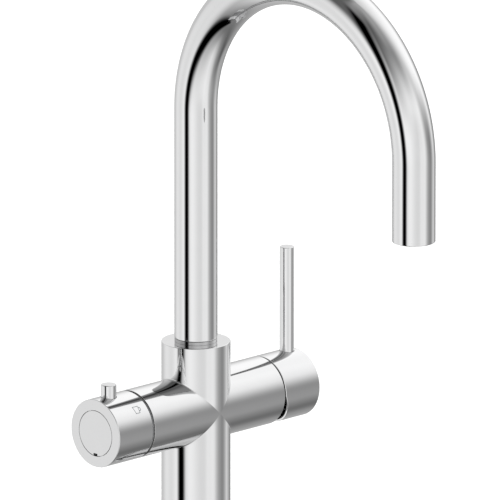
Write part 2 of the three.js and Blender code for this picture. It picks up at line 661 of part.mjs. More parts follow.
/** The end of the boiling-water pipe. Its flange rests on the grille. */
function boilingNozzle() {
  const flangeBottom = grilleTop + SEAT_GAP;
  const flangeRadius = NOZZLE_RADIUS + NOZZLE_FLANGE;
  const flangeTop = flangeBottom + NOZZLE_FLANGE;
  const top = aeratorBottom + NOZZLE_HEIGHT;
  const pipeBore = PIPE_RADIUS + PLAY;
  const pipeSeat = aeratorBottom + NOZZLE_SEAT;
  return piece('boiling_nozzle', steel, turned([
    [NOZZLE_BORE_RADIUS, aeratorBottom], [NOZZLE_RADIUS, aeratorBottom], [NOZZLE_RADIUS, flangeBottom],
    [flangeRadius, flangeBottom], [flangeRadius, flangeTop], [NOZZLE_RADIUS, flangeTop], [NOZZLE_RADIUS, top],
    [pipeBore, top], [pipeBore, pipeSeat], [NOZZLE_BORE_RADIUS, pipeSeat],
  ], SMALL_SIDES));
}

function outletPieces() {
  const group = groupOf(
    aeratorHousing(),
    piece('aerator_oring', rubber, oring(aeratorRadius - thinSection, aeratorSeal, thinSection, ROUND_SIDES)),
    aeratorGrille(),
    boilingNozzle(),
  );
  group.position.y = -outletReach;
  return group;
}

function spout() {
  const tubePath = new SwanNeckCurve(tubeBottom, outletHeight, ARCH_STEPS);
  const pipePath = new SwanNeckCurve(socketFloor - PIPE_SEAT_DEPTH + SEAT_GAP, pipeEnd, PIPE_ARCH_STEPS);
  return [
    piece('spout_tube', chrome, bentTube(TUBE_RADIUS, tubeBore, tubePath, TUBE_SIDES, TUBE_BORE_SIDES)),
    spoutSleeve(),
    sleeveOring('spout_oring_lower', ORING_RISE_LOWER),
    sleeveOring('spout_oring_upper', ORING_RISE_UPPER),
    piece('boiling_tube', steel, bentTube(
      PIPE_RADIUS, PIPE_RADIUS - PIPE_WALL, pipePath, PIPE_SIDES, PIPE_BORE_SIDES,
    )),
    outletPieces(),
  ];
}

function spoutBearings() {
  const sealHeight = PIPE_SEAL_DEPTH - 2 * SEAT_GAP;
  const sealBottom = socketFloor - PIPE_SEAL_DEPTH + SEAT_GAP;
  const swivelBottom = collarTop + SEAT_GAP;
  return [
    spoutSetScrew(),
    piece('swivel_ring', greyPlastic, ring(
      SWIVEL_RING_RADIUS, SOCKET_RADIUS, swivelBottom, swivelBottom + SWIVEL_RING_HEIGHT,
    )),
    piece('boiling_tube_oring', rubber, ring(
      PIPE_SEAL_RADIUS - SEAT_GAP, PIPE_RADIUS + SEAT_GAP, sealBottom, sealBottom + sealHeight, SMALL_SIDES,
    )),
  ];
}

// ---- Mixer cartridge. In an arm's own frame +Z points out along the arm and +X points up ----

const cartridgeBore = CARTRIDGE_RADIUS - CARTRIDGE_WALL;
const innerRadius = cartridgeBore - SEAT_GAP; // what sits inside the cartridge's case
const neckHole = CARTRIDGE_NECK_RADIUS + PLAY;
const plateInner = cartridgeInner + PORT_SEAL_HEIGHT + SEAT_GAP;
const fixedDiscInner = plateInner + PORT_PLATE_HEIGHT + SEAT_GAP;
const movingDiscInner = fixedDiscInner + FIXED_DISC_HEIGHT + SEAT_GAP;
const movingDiscOuter = movingDiscInner + MOVING_DISC_HEIGHT;
const blockOuter = movingDiscOuter + DRIVE_BLOCK_HEIGHT;
const ballCentre = tiltPivot - STEM_BALL_REACH;
const ballTravel = STEM_BALL_REACH * Math.sin(radians(TILT_LIMIT));
const ballSocket = 2 * (STEM_BALL_RADIUS + PLAY);
const stemEnd = barrelEnd - STEM_END_INSET;
const shankReach = STEM_BALL_REACH - STEM_BALL_RADIUS - STEM_NECK_LENGTH;

/** Height of the slot that the square shank needs to tilt in. It is widest at the shank's inner end. */
function tiltSlotHeight() {
  const tilt = radians(TILT_LIMIT);
  const half = shankReach * Math.sin(tilt) + (STEM_WIDTH / 2) * Math.cos(tilt);
  return 2 * (half + STEM_TILT_PLAY);
}

/** A round plate with a hole for each of the mixer's three ports. */
function portPlate(name, finishOf, from, to) {
  const holes = mixerPorts.map(([x, y]) => drillZ(PORT_RADIUS, from - OVERSHOOT, to + OVERSHOOT, x, y));
  return piece(name, finishOf, cut(rod(innerRadius, from, to), ...holes));
}

function cartridgeHousing() {
  return piece('mixer_cartridge_housing', plastic, turned([
    [cartridgeBore, cartridgeInner], [CARTRIDGE_RADIUS, cartridgeInner], [CARTRIDGE_RADIUS, cartridgeOuter],
    [neckHole, cartridgeOuter], [neckHole, cartridgeOuter - CARTRIDGE_CROWN],
    [cartridgeBore, cartridgeOuter - CARTRIDGE_CROWN],
  ]));
}

function cartridgeNut() {
  const notches = Array.from({ length: NUT_NOTCHES }, (_, k) => {
    const angle = (2 * Math.PI * (k + 0.5)) / NUT_NOTCHES;
    const [from, to] = [nutOuter - NUT_NOTCH_DEPTH, nutOuter + OVERSHOOT];
    return block(CARTRIDGE_NUT_BORE, 0, 2 * NUT_NOTCH_REACH, NUT_NOTCH_WIDTH, from, to).rotateZ(angle);
  });
  return piece('cartridge_nut', brass, cut(
    ring(THREAD_RADIUS - SEAT_GAP, CARTRIDGE_NUT_BORE, nutInner, nutOuter), ...notches,
  ));
}

/** The T-shaped hollow in the moving disc's face. It lies just below the inlet ports until the stem tilts. */
function mixingHollow() {
  const top = -PORT_RADIUS - PLAY;
  const bottom = -MIXED_PORT_DROP - PORT_RADIUS;
  const [from, to] = [movingDiscInner - OVERSHOOT, movingDiscInner + DISC_POCKET_DEPTH];
  return [
    block(top - DISC_POCKET_HEIGHT / 2, 0, DISC_POCKET_HEIGHT, DISC_POCKET_WIDTH, from, to),
    block((top + bottom) / 2, 0, top - bottom, 2 * PORT_RADIUS, from, to),
  ];
}

/** The moving disc: a block on its back takes the stem's ball, a hollow in its face joins the ports. */
function movingDisc() {
  const disc = rod(MOVING_DISC_RADIUS, movingDiscInner, movingDiscOuter);
  const driveBlock = block(0, 0, DRIVE_BLOCK_WIDTH, DRIVE_BLOCK_WIDTH, movingDiscInner, blockOuter);
  const socketFrom = ballCentre - STEM_BALL_RADIUS - PLAY;
  const socket = block(0, 0, ballSocket, ballSocket, socketFrom, blockOuter + OVERSHOOT);
  return piece('mixer_moving_disc', ceramic, cut(join(disc, driveBlock), socket, ...mixingHollow()));
}

/** The turning carrier: a flange drives the disc's block, and a slotted neck holds the stem's pin. */
function cartridgeCarrier() {
  const flangeInner = movingDiscOuter + SEAT_GAP;
  const flangeOuter = cartridgeOuter - CARTRIDGE_CROWN - SEAT_GAP;
  const neckEnd = cartridgeOuter + CARTRIDGE_NECK_PROUD;
  const body = turned([
    [0, flangeInner], [innerRadius, flangeInner], [innerRadius, flangeOuter],
    [CARTRIDGE_NECK_RADIUS, flangeOuter], [CARTRIDGE_NECK_RADIUS, neckEnd], [0, neckEnd],
  ]);
  const window = block(
    ballTravel / 2, 0, DRIVE_BLOCK_WIDTH + ballTravel + 2 * PLAY, DRIVE_BLOCK_WIDTH + 2 * PLAY,
    flangeInner - OVERSHOOT, blockOuter + PLAY,
  );
  const slot = block(
    0, 0, tiltSlotHeight(), STEM_WIDTH + 2 * PLAY, flangeInner - OVERSHOOT, neckEnd + OVERSHOOT,
  );
  const pinHole = drillY(STEM_PIN_RADIUS + PLAY, -neckHole, neckHole, 0, tiltPivot);
  return piece('cartridge_carrier', plastic, cut(body, window, slot, pinHole));
}

/** The stem: a ball that pushes the disc, and a square shank for the pin and the handle. */
function mixerStem() {
  const shankStart = tiltPivot - shankReach;
  const ball = new THREE.SphereGeometry(STEM_BALL_RADIUS, DRILL_SIDES, DRILL_SIDES / 2);
  const neck = rod(STEM_NECK_RADIUS, ballCentre, shankStart + OVERSHOOT, DRILL_SIDES);
  const shank = block(0, 0, STEM_WIDTH, STEM_WIDTH, shankStart, stemEnd);
  const pinHole = drillY(STEM_PIN_RADIUS + PLAY, -STEM_WIDTH, STEM_WIDTH, 0, tiltPivot);
  return piece('mixer_stem', brass, cut(join(ball.translate(0, 0, ballCentre), neck, shank), pinHole));
}

function stemPin() {
  const half = CARTRIDGE_NECK_RADIUS - SEAT_GAP;
  return piece('stem_pin', steel, drillY(STEM_PIN_RADIUS, -half, half, 0, tiltPivot));
}

function mixerCartridge() {
  return [
    cartridgeHousing(),
    portPlate('mixer_base_seal', rubber, cartridgeInner, cartridgeInner + PORT_SEAL_HEIGHT),
    portPlate('mixer_cartridge_base', plastic, plateInner, plateInner + PORT_PLATE_HEIGHT),
    portPlate('mixer_fixed_disc', ceramic, fixedDiscInner, fixedDiscInner + FIXED_DISC_HEIGHT),
    cartridgeNut(),
    cartridgeCarrier(),
    stemPin(),
    movingDisc(),
    mixerStem(),
  ];
}

// ---- Mixer handle ----

/** The wedge cut from the lower half of the handle's mouth, which lets the handle tilt clear of the arm. */
function mouthBevel() {
  const depth = BODY_RADIUS + OVERSHOOT;
  const run = depth * Math.tan(radians(BEVEL_ANGLE));
  const before = handleMouth - OVERSHOOT;
  const corners = [[before, 0], [handleMouth, 0], [handleMouth + run, -depth], [before, -depth]];
  const wedge = new THREE.Shape(corners.map((corner) => new THREE.Vector2(...corner)));
  // The outline is drawn as (along the arm, up) and stood up into the arm's frame
  return extruded(wedge, -depth, depth).applyMatrix4(new THREE.Matrix4().makeBasis(
    new THREE.Vector3(0, 0, 1), new THREE.Vector3(1, 0, 0), new THREE.Vector3(0, 1, 0),
  ));
}

function handleShell() {
  const c = EDGE_CHAMFER;
  const end = barrelEnd;
  const endWall = end - HANDLE_END_WALL;
  const bore = BODY_RADIUS - HANDLE_WALL;
  const cup = turned([
    [0, handleMouth], [HUB_RADIUS, handleMouth], [HUB_RADIUS, endWall], [bore, endWall], [bore, handleMouth],
    [BODY_RADIUS - c, handleMouth], [BODY_RADIUS, handleMouth + c],
    [BODY_RADIUS, end - c], [BODY_RADIUS - c, end], [0, end],
  ], OUTER_SIDES);
  const screwAxis = end - HANDLE_SCREW_INSET;
  const leverAxis = end - LEVER_INSET;
  const socketWidth = STEM_WIDTH + 2 * PLAY;
  const studHole = HUB_RADIUS - LEVER_STUD_LENGTH - SEAT_GAP;
  const leverHole = rod(LEVER_RADIUS + SEAT_GAP, HUB_RADIUS, BODY_RADIUS + OVERSHOOT, SMALL_SIDES);
  return piece('mixer_handle_shell', chrome, cut(
    cup,
    mouthBevel(),
    block(0, 0, socketWidth, socketWidth, handleMouth - OVERSHOOT, stemEnd + SEAT_GAP),
    uprightToX(leverHole).translate(0, 0, leverAxis),
    drillX(LEVER_STUD_RADIUS + SEAT_GAP, studHole, BODY_RADIUS, 0, leverAxis),
    drillX(HANDLE_SCREW_RADIUS + SEAT_GAP, -HUB_RADIUS - OVERSHOOT, 0, 0, screwAxis),
    drillX(PLUG_RADIUS + SEAT_GAP, -BODY_RADIUS - OVERSHOOT, -HUB_RADIUS, 0, screwAxis),
  ));
}

/** The upright lever. Its stud screws into the handle's hub. */
function leverRod() {
  const c = EDGE_CHAMFER;
  const foot = HUB_RADIUS + SEAT_GAP;
  const rodShape = turned([
    [0, HUB_RADIUS - LEVER_STUD_LENGTH], [LEVER_STUD_RADIUS, HUB_RADIUS - LEVER_STUD_LENGTH],
    [LEVER_STUD_RADIUS, foot], [LEVER_RADIUS, foot],
    [LEVER_RADIUS, LEVER_TOP - c], [LEVER_RADIUS - c, LEVER_TOP], [0, LEVER_TOP],
  ], LEVER_SIDES);
  return piece('lever_rod', chrome, uprightToX(rodShape).translate(0, 0, barrelEnd - LEVER_INSET));
}

function handleFixings() {
  const screwAxis = barrelEnd - HANDLE_SCREW_INSET;
  const screwTop = -STEM_WIDTH / 2 - SEAT_GAP;
  const screwBottom = screwTop - HANDLE_SCREW_LENGTH;
  const plugTop = -(BODY_RADIUS - HANDLE_WALL) + SEAT_GAP;
  const screw = rod(HANDLE_SCREW_RADIUS, screwBottom, screwTop, SMALL_SIDES);
  const key = hexagon(KEY_FLATS, screwBottom - OVERSHOOT, screwBottom + KEY_DEPTH);
  const plug = rod(PLUG_RADIUS, -BODY_RADIUS + SEAT_GAP, plugTop, SMALL_SIDES);
  return [
    piece('handle_set_screw', steel, uprightToX(cut(screw, key)).translate(0, 0, screwAxis)),
    piece('set_screw_plug', greyPlastic, uprightToX(plug).translate(0, 0, screwAxis)),
  ];
}

// ---- Boiling-water valve ----

const valveCavity = VALVE_RADIUS - VALVE_WALL;
const valveFixedInner = valveInner + VALVE_SEAL_HEIGHT + SEAT_GAP;
const valveMovingInner = valveFixedInner + VALVE_DISC_HEIGHT + SEAT_GAP;
const valveMovingOuter = valveMovingInner + VALVE_DISC_HEIGHT;
const spindleSeal = ARM_LENGTH - SPINDLE_SEAL_DEPTH;
const squareStart = valveNeckEnd + KNOB_PUSH + SEAT_GAP;

function valveHousing() {
  const hexOuter = valveHexInner + VALVE_HEX_LENGTH;
  const body = join(
    rod(VALVE_RADIUS, valveInner, valveHexInner + OVERSHOOT),
    hexagon(VALVE_HEX_FLATS, valveHexInner, hexOuter),
    rod(VALVE_NECK_RADIUS, hexOuter - OVERSHOOT, valveNeckEnd),
  );
  return piece('boiling_valve_housing', brass, cut(
    body,
    rod(valveCavity, valveInner - OVERSHOOT, cavityOuter),
    rod(SPINDLE_RADIUS + PLAY, cavityOuter - OVERSHOOT, valveNeckEnd + OVERSHOOT, SMALL_SIDES),
  ));
}

/** A plate of the boiling-water valve with its inlet port in the middle and its outlet port above it. */
function valvePlate(name, finishOf, from, to) {
  const ports = [0, BOILING_PORT_RISE].map((x) => (
    drillZ(BOILING_WAY_RADIUS, from - OVERSHOOT, to + OVERSHOOT, x, 0)
  ));
  return piece(name, finishOf, cut(rod(valveCavity - SEAT_GAP, from, to), ...ports));
}

/** The moving disc: its hollow joins the two ports once the knob has made its quarter turn. */
function valveMovingDisc() {
  const disc = rod(valveCavity - SEAT_GAP, valveMovingInner, valveMovingOuter);
  const hollow = block(
    0, BOILING_PORT_RISE / 2, 2 * BOILING_WAY_RADIUS, BOILING_PORT_RISE + 2 * BOILING_WAY_RADIUS,
    valveMovingInner - OVERSHOOT, valveMovingInner + VALVE_POCKET_DEPTH,
  );
  const driveSlot = block(
    0, 0, SPINDLE_BLADE_WIDTH + 2 * PLAY, SPINDLE_BLADE_LENGTH + 2 * PLAY,
    valveMovingOuter + SEAT_GAP - SPINDLE_BLADE_DEPTH - PLAY, valveMovingOuter + OVERSHOOT,
  );
  return piece('boiling_moving_disc', ceramic, cut(disc, hollow, driveSlot));
}

/** Spindle: a blade that turns the disc, a thrust flange, a round journal and a square end for the knob. */
function boilingSpindle() {
  const flangeInner = valveMovingOuter + SEAT_GAP;
  const flangeOuter = cavityOuter - SEAT_GAP;
  const flangeRadius = valveCavity - PLAY;
  const bladeInner = flangeInner - SPINDLE_BLADE_DEPTH;
  const screwBottom = spindleEnd - KNOB_SCREW_LENGTH;
  const journal = turned([
    [0, flangeInner], [flangeRadius, flangeInner], [flangeRadius, flangeOuter],
    [SPINDLE_RADIUS, flangeOuter], [SPINDLE_RADIUS, squareStart], [0, squareStart],
  ]);
  const blade = block(0, 0, SPINDLE_BLADE_WIDTH, SPINDLE_BLADE_LENGTH, bladeInner, flangeOuter);
  const square = block(0, 0, SPINDLE_SQUARE, SPINDLE_SQUARE, squareStart - OVERSHOOT, spindleEnd);
  return piece('boiling_spindle', brass, cut(
    join(journal, blade, square),
    thinGroove(SPINDLE_RADIUS, spindleSeal, SMALL_SIDES),
    drillZ(KNOB_SCREW_RADIUS + PLAY, screwBottom, spindleEnd + OVERSHOOT, 0, 0),
  ));
}

/** Ring in the arm's end: a hexagonal hole keeps it from turning, and its arc slot stops the knob's peg. */
function stopRing() {
  const outer = valveHexInner + STOP_RING_HEIGHT;
  const pegAngle = Math.asin((STOP_PEG_RADIUS + PLAY) / STOP_SLOT_CIRCLE);
  const halfWidth = STOP_PEG_RADIUS + PLAY;
  // Turned about the body's +X axis, the peg goes from the slot's one end to the other
  const slot = arcSlot(
    STOP_SLOT_CIRCLE + halfWidth, STOP_SLOT_CIRCLE - halfWidth, STOP_PEG_ANGLE - radians(KNOB_TURN / 2),
    radians(KNOB_TURN / 2 + STOP_SLOT_MARGIN) + pegAngle, outer - STOP_SLOT_DEPTH, outer + OVERSHOOT,
  );
  return piece('stop_ring', steel, cut(
    rod(THREAD_RADIUS - SEAT_GAP, valveHexInner, outer),
    hexagon(VALVE_HEX_FLATS + 2 * SEAT_GAP, valveHexInner - OVERSHOOT, outer + OVERSHOOT),
    slot,
  ));
}

function boilingValve() {
  const sealRadius = SPINDLE_RADIUS - thinSection;
  return [
    valveHousing(),
    valvePlate('boiling_valve_seal', rubber, valveInner, valveInner + VALVE_SEAL_HEIGHT),
    valvePlate('boiling_fixed_disc', ceramic, valveFixedInner, valveFixedInner + VALVE_DISC_HEIGHT),
    stopRing(),
    valveMovingDisc(),
    boilingSpindle(),
    piece('spindle_oring', rubber, oring(sealRadius, spindleSeal, thinSection, SMALL_SIDES)),
  ];
}

// ---- Boiling-water knob ----

const insertFlange = knobMouth + INSERT_FLANGE_INSET;
const knobInside = knobRecess - KNOB_FLOOR;
const springPocket = valveNeckEnd + SEAT_GAP + SPRING_LENGTH + SEAT_GAP;
const headroomRadius = KNOB_WASHER_RADIUS + KNOB_WASHER_PLAY;

function knobShell() {
  const c = EDGE_CHAMFER;
  const end = barrelEnd;
  const bore = BODY_RADIUS - KNOB_WALL;
  const recess = COVER_RADIUS + SEAT_GAP;
  const cup = turned([
    [headroomRadius, knobInside], [bore, knobInside], [bore, knobMouth],
    [BODY_RADIUS - c, knobMouth], [BODY_RADIUS, knobMouth + c], [BODY_RADIUS, end - c],
    [BODY_RADIUS - c, end], [recess, end], [recess, knobRecess], [headroomRadius, knobRecess],
  ], OUTER_SIDES);
  const pinHole = rod(PIN_RADIUS + SEAT_GAP, INSERT_HUB_RADIUS, BODY_RADIUS + OVERSHOOT, SMALL_SIDES);
  return piece('boiling_knob_shell', chrome, cut(cup, uprightToX(pinHole).translate(0, 0, end - PIN_INSET)));
}

/** The stub that the user turns the knob by. It stands on the insert's hub. */
function knobPin() {
  const c = EDGE_CHAMFER;
  const pin = turned([
    [0, INSERT_HUB_RADIUS + SEAT_GAP], [PIN_RADIUS, INSERT_HUB_RADIUS + SEAT_GAP],
    [PIN_RADIUS, PIN_TOP - c], [PIN_RADIUS - c, PIN_TOP], [0, PIN_TOP],
  ], LEVER_SIDES);
  return piece('boiling_knob_pin', chrome, uprightToX(pin).translate(0, 0, barrelEnd - PIN_INSET));
}

/** Moulded insert: a flange that closes the knob's mouth, a hub with a square bore, and the stop peg. */
function knobInsert() {
  const hubEnd = knobInside - SEAT_GAP;
  const flangeRadius = BODY_RADIUS - KNOB_WALL - SEAT_GAP;
  const flangeOuter = insertFlange + INSERT_FLANGE_HEIGHT;
  const body = turned([
    [0, insertFlange], [flangeRadius, insertFlange], [flangeRadius, flangeOuter],
    [INSERT_HUB_RADIUS, flangeOuter], [INSERT_HUB_RADIUS, hubEnd], [0, hubEnd],
  ]);
  const square = SPINDLE_SQUARE + 2 * PLAY;
  const pegEnd = valveHexInner + STOP_RING_HEIGHT - STOP_PEG_ENGAGEMENT;
  const pegX = STOP_SLOT_CIRCLE * Math.cos(STOP_PEG_ANGLE);
  const pegY = STOP_SLOT_CIRCLE * Math.sin(STOP_PEG_ANGLE);
  // The washer on the spindle's end catches the step from the square bore to the wide one
  return piece('knob_hub_insert', plastic, cut(
    join(body, drillZ(STOP_PEG_RADIUS, pegEnd, flangeOuter, pegX, pegY)),
    rod(SPRING_RADIUS + SPRING_WIRE + SEAT_GAP, insertFlange - OVERSHOOT, springPocket, SMALL_SIDES),
    block(0, 0, square, square, springPocket - OVERSHOOT, spindleEnd + OVERSHOOT),
    rod(headroomRadius, spindleEnd, hubEnd + OVERSHOOT, SMALL_SIDES),
  ));
}

class HelixCurve extends THREE.Curve {
  getPoint(t) {
    const angle = 2 * Math.PI * SPRING_TURNS * t;
    const rise = t * (SPRING_LENGTH - 2 * SPRING_WIRE);
    return new THREE.Vector3(SPRING_RADIUS * Math.cos(angle), SPRING_RADIUS * Math.sin(angle), rise);
  }
}

/** The spring between the valve's neck and the bottom of the insert's pocket. */
function pushSpring() {
  const wire = new THREE.Shape(polygonPoints(SECTION_SIDES, SPRING_WIRE));
  const steps = SPRING_TURNS * SPRING_STEPS_PER_TURN;
  const coil = new THREE.ExtrudeGeometry(wire, { steps, extrudePath: new HelixCurve(), bevelEnabled: false });
  return piece('push_spring', steel, coil.translate(0, 0, valveNeckEnd + SEAT_GAP + SPRING_WIRE));
}

/** Pry-off cover with a notch at the bottom of its edge. */
function knobCover() {
  const disc = rod(COVER_RADIUS, knobRecess + SEAT_GAP, barrelEnd, OUTER_SIDES);
  const notch = block(
    -COVER_RADIUS, 0, 2 * COVER_NOTCH_DEPTH, COVER_NOTCH_WIDTH, knobRecess, barrelEnd + OVERSHOOT,
  );
  return piece('knob_cover_disc', chrome, cut(disc, notch));
}

function knobFixings() {
  const screwInner = spindleEnd - KNOB_SCREW_LENGTH + SEAT_GAP;
  const washerInner = spindleEnd + SEAT_GAP;
  const washerOuter = washerInner + KNOB_WASHER_HEIGHT;
  const headInner = washerOuter + SEAT_GAP;
  const headOuter = headInner + KNOB_SCREW_HEAD_HEIGHT;
  const screw = turned([
    [0, screwInner], [KNOB_SCREW_RADIUS, screwInner], [KNOB_SCREW_RADIUS, headInner],
    [KNOB_SCREW_HEAD_RADIUS, headInner], [KNOB_SCREW_HEAD_RADIUS, headOuter], [0, headOuter],
  ], SMALL_SIDES);
  const key = hexagon(KEY_FLATS, headOuter - KNOB_SCREW_KEY_DEPTH, headOuter + OVERSHOOT);
  const washerBore = KNOB_SCREW_RADIUS + SEAT_GAP;
  return [
    piece('knob_screw', steel, cut(screw, key)),
    piece('knob_washer', steel, ring(KNOB_WASHER_RADIUS, washerBore, washerInner, washerOuter, SMALL_SIDES)),
  ];
}

function boilingKnob() {
  return [knobShell(), knobPin(), knobInsert(), pushSpring(), knobCover(), ...knobFixings()];
}

// ---- Assembly ----

/** Stands an arm's own frame (+Z outwards, +X up) on the barrel's axis, towards +X or -X. */
function armGroup(side, ...pieces) {
  const group = groupOf(...pieces);
  const outwards = new THREE.Vector3(side, 0, 0);
  const up = new THREE.Vector3(0, 0, 1);
  const across = new THREE.Vector3().crossVectors(outwards, up);
  group.setRotationFromMatrix(new THREE.Matrix4().makeBasis(up, across, outwards));
  group.position.z = BARREL_HEIGHT;
  return group;
}

const mixerArm = armGroup(1, ...mixerCartridge(), handleShell(), leverRod(), ...handleFixings());
const boilingArm = armGroup(-1, ...boilingValve(), ...boilingKnob());

const tap = groupOf(
  bodyCasting(),
  ...deckFixings(),
  ...spoutBearings(),
  ...spout(),
  mixerArm,
  boilingArm,
);
tap.name = 'boiling_water_tap';

export default tap;
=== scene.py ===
"""Looks of the deck-mounted boiling-water tap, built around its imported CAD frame.

Shapes are written in millimetres and become metres when their mesh is made.
"""

import json
import math

import bmesh
import bpy
from mathutils import Matrix, Vector
from mathutils.geometry import tessellate_polygon


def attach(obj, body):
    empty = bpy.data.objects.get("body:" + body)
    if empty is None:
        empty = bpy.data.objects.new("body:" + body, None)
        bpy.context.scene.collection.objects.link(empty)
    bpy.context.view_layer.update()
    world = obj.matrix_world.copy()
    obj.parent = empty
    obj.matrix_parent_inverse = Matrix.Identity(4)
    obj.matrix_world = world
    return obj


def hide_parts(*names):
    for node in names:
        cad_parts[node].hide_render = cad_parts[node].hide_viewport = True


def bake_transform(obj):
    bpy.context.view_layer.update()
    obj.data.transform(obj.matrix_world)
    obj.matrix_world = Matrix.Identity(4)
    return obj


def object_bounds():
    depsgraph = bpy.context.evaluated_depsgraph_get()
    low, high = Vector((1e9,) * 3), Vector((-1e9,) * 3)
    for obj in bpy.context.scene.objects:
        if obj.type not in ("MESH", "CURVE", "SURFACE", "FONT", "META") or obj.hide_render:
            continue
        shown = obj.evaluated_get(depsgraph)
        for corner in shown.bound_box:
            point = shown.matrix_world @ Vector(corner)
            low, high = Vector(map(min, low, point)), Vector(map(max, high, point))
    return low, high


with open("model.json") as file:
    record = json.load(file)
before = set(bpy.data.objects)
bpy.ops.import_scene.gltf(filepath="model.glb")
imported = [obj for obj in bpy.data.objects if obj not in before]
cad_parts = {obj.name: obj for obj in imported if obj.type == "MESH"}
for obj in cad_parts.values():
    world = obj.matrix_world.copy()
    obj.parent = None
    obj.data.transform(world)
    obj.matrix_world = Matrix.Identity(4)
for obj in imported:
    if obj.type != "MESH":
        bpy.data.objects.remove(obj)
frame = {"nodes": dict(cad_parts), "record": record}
cad_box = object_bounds()

MM = 0.001

# ---- Sizes of the CAD source, in mm ----
# Heights are above the worktop and places along an arm are from the column's axis,
# unless a comment says otherwise.

BODY_RADIUS = 24.0
BARREL_HEIGHT = 90.0
COLLAR_TOP = 138.0
ARM_LENGTH = 63.5
BARREL_END = 97.4
BODY_BOTTOM = 4.3
THREAD_RADIUS = 20.2
CARTRIDGE_CHAMBER = (17.8, 54.0, 31.0)  # radius, outer end, floor
VALVE_CHAMBER = (11.3, 52.0, 31.0)
SOCKET_RADIUS = 12.5
SOCKET_FLOOR = 112.0
PIPE_SEAL = (6.0, 109.0)  # radius, bottom
PIPE_SEAT = (4.3, 104.0)
SHANK_BORE = 16.8
SHANK_SEAT = 16.6  # top of the bore that takes the shank
BOSS_RADIUS = 12.7
INLET_FACE = 12.3
INLET_RADIUS = 4.5
INLET_CIRCLE = 7.3
INLET_DEPTH = 12.0
INLET_ANGLES = (-60, 60, 180)  # degrees from the mixer's arm
SET_SCREW = (2.8, 122.0)  # hole radius, height
TUBE_RADIUS = 15.0
TUBE_BORE = 13.5
ARCH_START = 305.0
ARCH_RADIUS = 106.2
OUTLET_HEIGHT = 249.4
OUTLET_REACH = 2 * ARCH_RADIUS
HANDLE_MOUTH = 64.5
KNOB_MOUTH = 65.2
BEVEL_SLOPE = math.tan(math.radians(20.0))
CONTROL_BORE = 21.8  # inner radius of the handle and of the knob
CONTROL_FLOOR = 91.4  # inner face of their end walls
HUB_RADIUS = 9.0
LEVER_STUD_RADIUS = 3.0
LEVER_STUD_END = 4.4  # above the barrel's axis, as the next two
LEVER_FOOT = 9.3
STUB_FOOT = 10.3
PLUG = (79.0, 3.2, -23.7, -21.5)  # place, radius, lower and upper end from the barrel's axis
COVER = (16.0, 94.7)  # radius, back
COVER_SEAT = (16.3, 94.4)  # radius, floor
KNOB_CENTRE_BORE = 7.5
HOLE_PLAY = 0.3  # between a rod and its hole
SPRING_COIL = (6.2, 0.6, 4.5)  # radius of the centre line, wire radius, turns
SPRING_SPAN = (62.3, 70.0)
FLANGE = (26.0, 4.0)  # radius, height
FLANGE_GROOVE = (19.0, 23.0, 2.0)  # inner and outer radius, depth
SHANK_RADIUS = 16.5
SHANK_INNER = 13.0
SHANK_TOP = 16.3
SHANK_BOTTOM = -60.0
NUT_FLATS = 44.0
NUT_SPAN = (-53.6, -43.6)
WASHER_RADIUS = 26.0
RUBBER_SPAN = (-41.0, -38.0)
STEEL_SPAN = (-43.3, -41.3)
SEAL_RING = (22.7, 19.3, 1.7)  # outer and inner radius, height
AERATOR_BOTTOM = 250.0  # heights of the outlet's pieces and their steps start here
AERATOR_RADIUS = 13.2
AERATOR_HEIGHT = 12.0
AERATOR_BORE = 11.4
AERATOR_LIP = (10.5, 0.9)  # inner radius, height
GRILLE_RADIUS = 11.1
GRILLE_HOLE = 5.5  # radius of the hole for the nozzle
GRILLE_SPAN = (1.2, 3.2)
GRILLE_CELL = 2.3
GRILLE_RIB = 0.5
NOZZLE_RADIUS = 5.2
NOZZLE_BORE = 2.5
NOZZLE_HEIGHT = 8.0
NOZZLE_SEAT = (4.3, 2.4)  # radius and floor of the seat for the boiling-water pipe
NOZZLE_FLANGE = (6.6, 3.5, 4.9)  # radius, lower and upper face

# ---- Sizes that follow the photograph more closely than the CAD's do, in mm ----

KNOB_ARM_LENGTH = 63.0  # a little shorter than the other arm, for a wider seam
TUBE_BOTTOM = 140.4
RING_RADIUS = 14.9
RING_SPAN = (138.02, 140.3)
MOUTH_BORE = 22.7  # radius of the handle's bore at its mouth
MOUTH_DEPTH = 78.5  # where that wider bore ends
LEVER = (88.8, 5.0, 98.8)  # place along the arm, radius, top above the barrel's axis
STUB = (84.6, 5.35, 32.9)
COVER_NOTCH = (5.0, 3.8, 3.4)  # size of its cutter, half of which is inside the cover's rim
COVER_NOTCH_PLACE = (-96.5, 0, BARREL_HEIGHT - COVER[0])

# ---- Hidden places that are plainer or wider than in the CAD, in mm ----

HUB_INSET = 9.5  # from the handle's mouth to its hub, which the CAD makes flush
STEM_SOCKET = (4.3, 84.3)  # radius, floor, where the CAD's socket is square
AERATOR_GROOVE = (11.6, 7.9, 10.1)  # radius at its floor, lower and upper edge

# ---- Details that the CAD leaves out, in mm ----

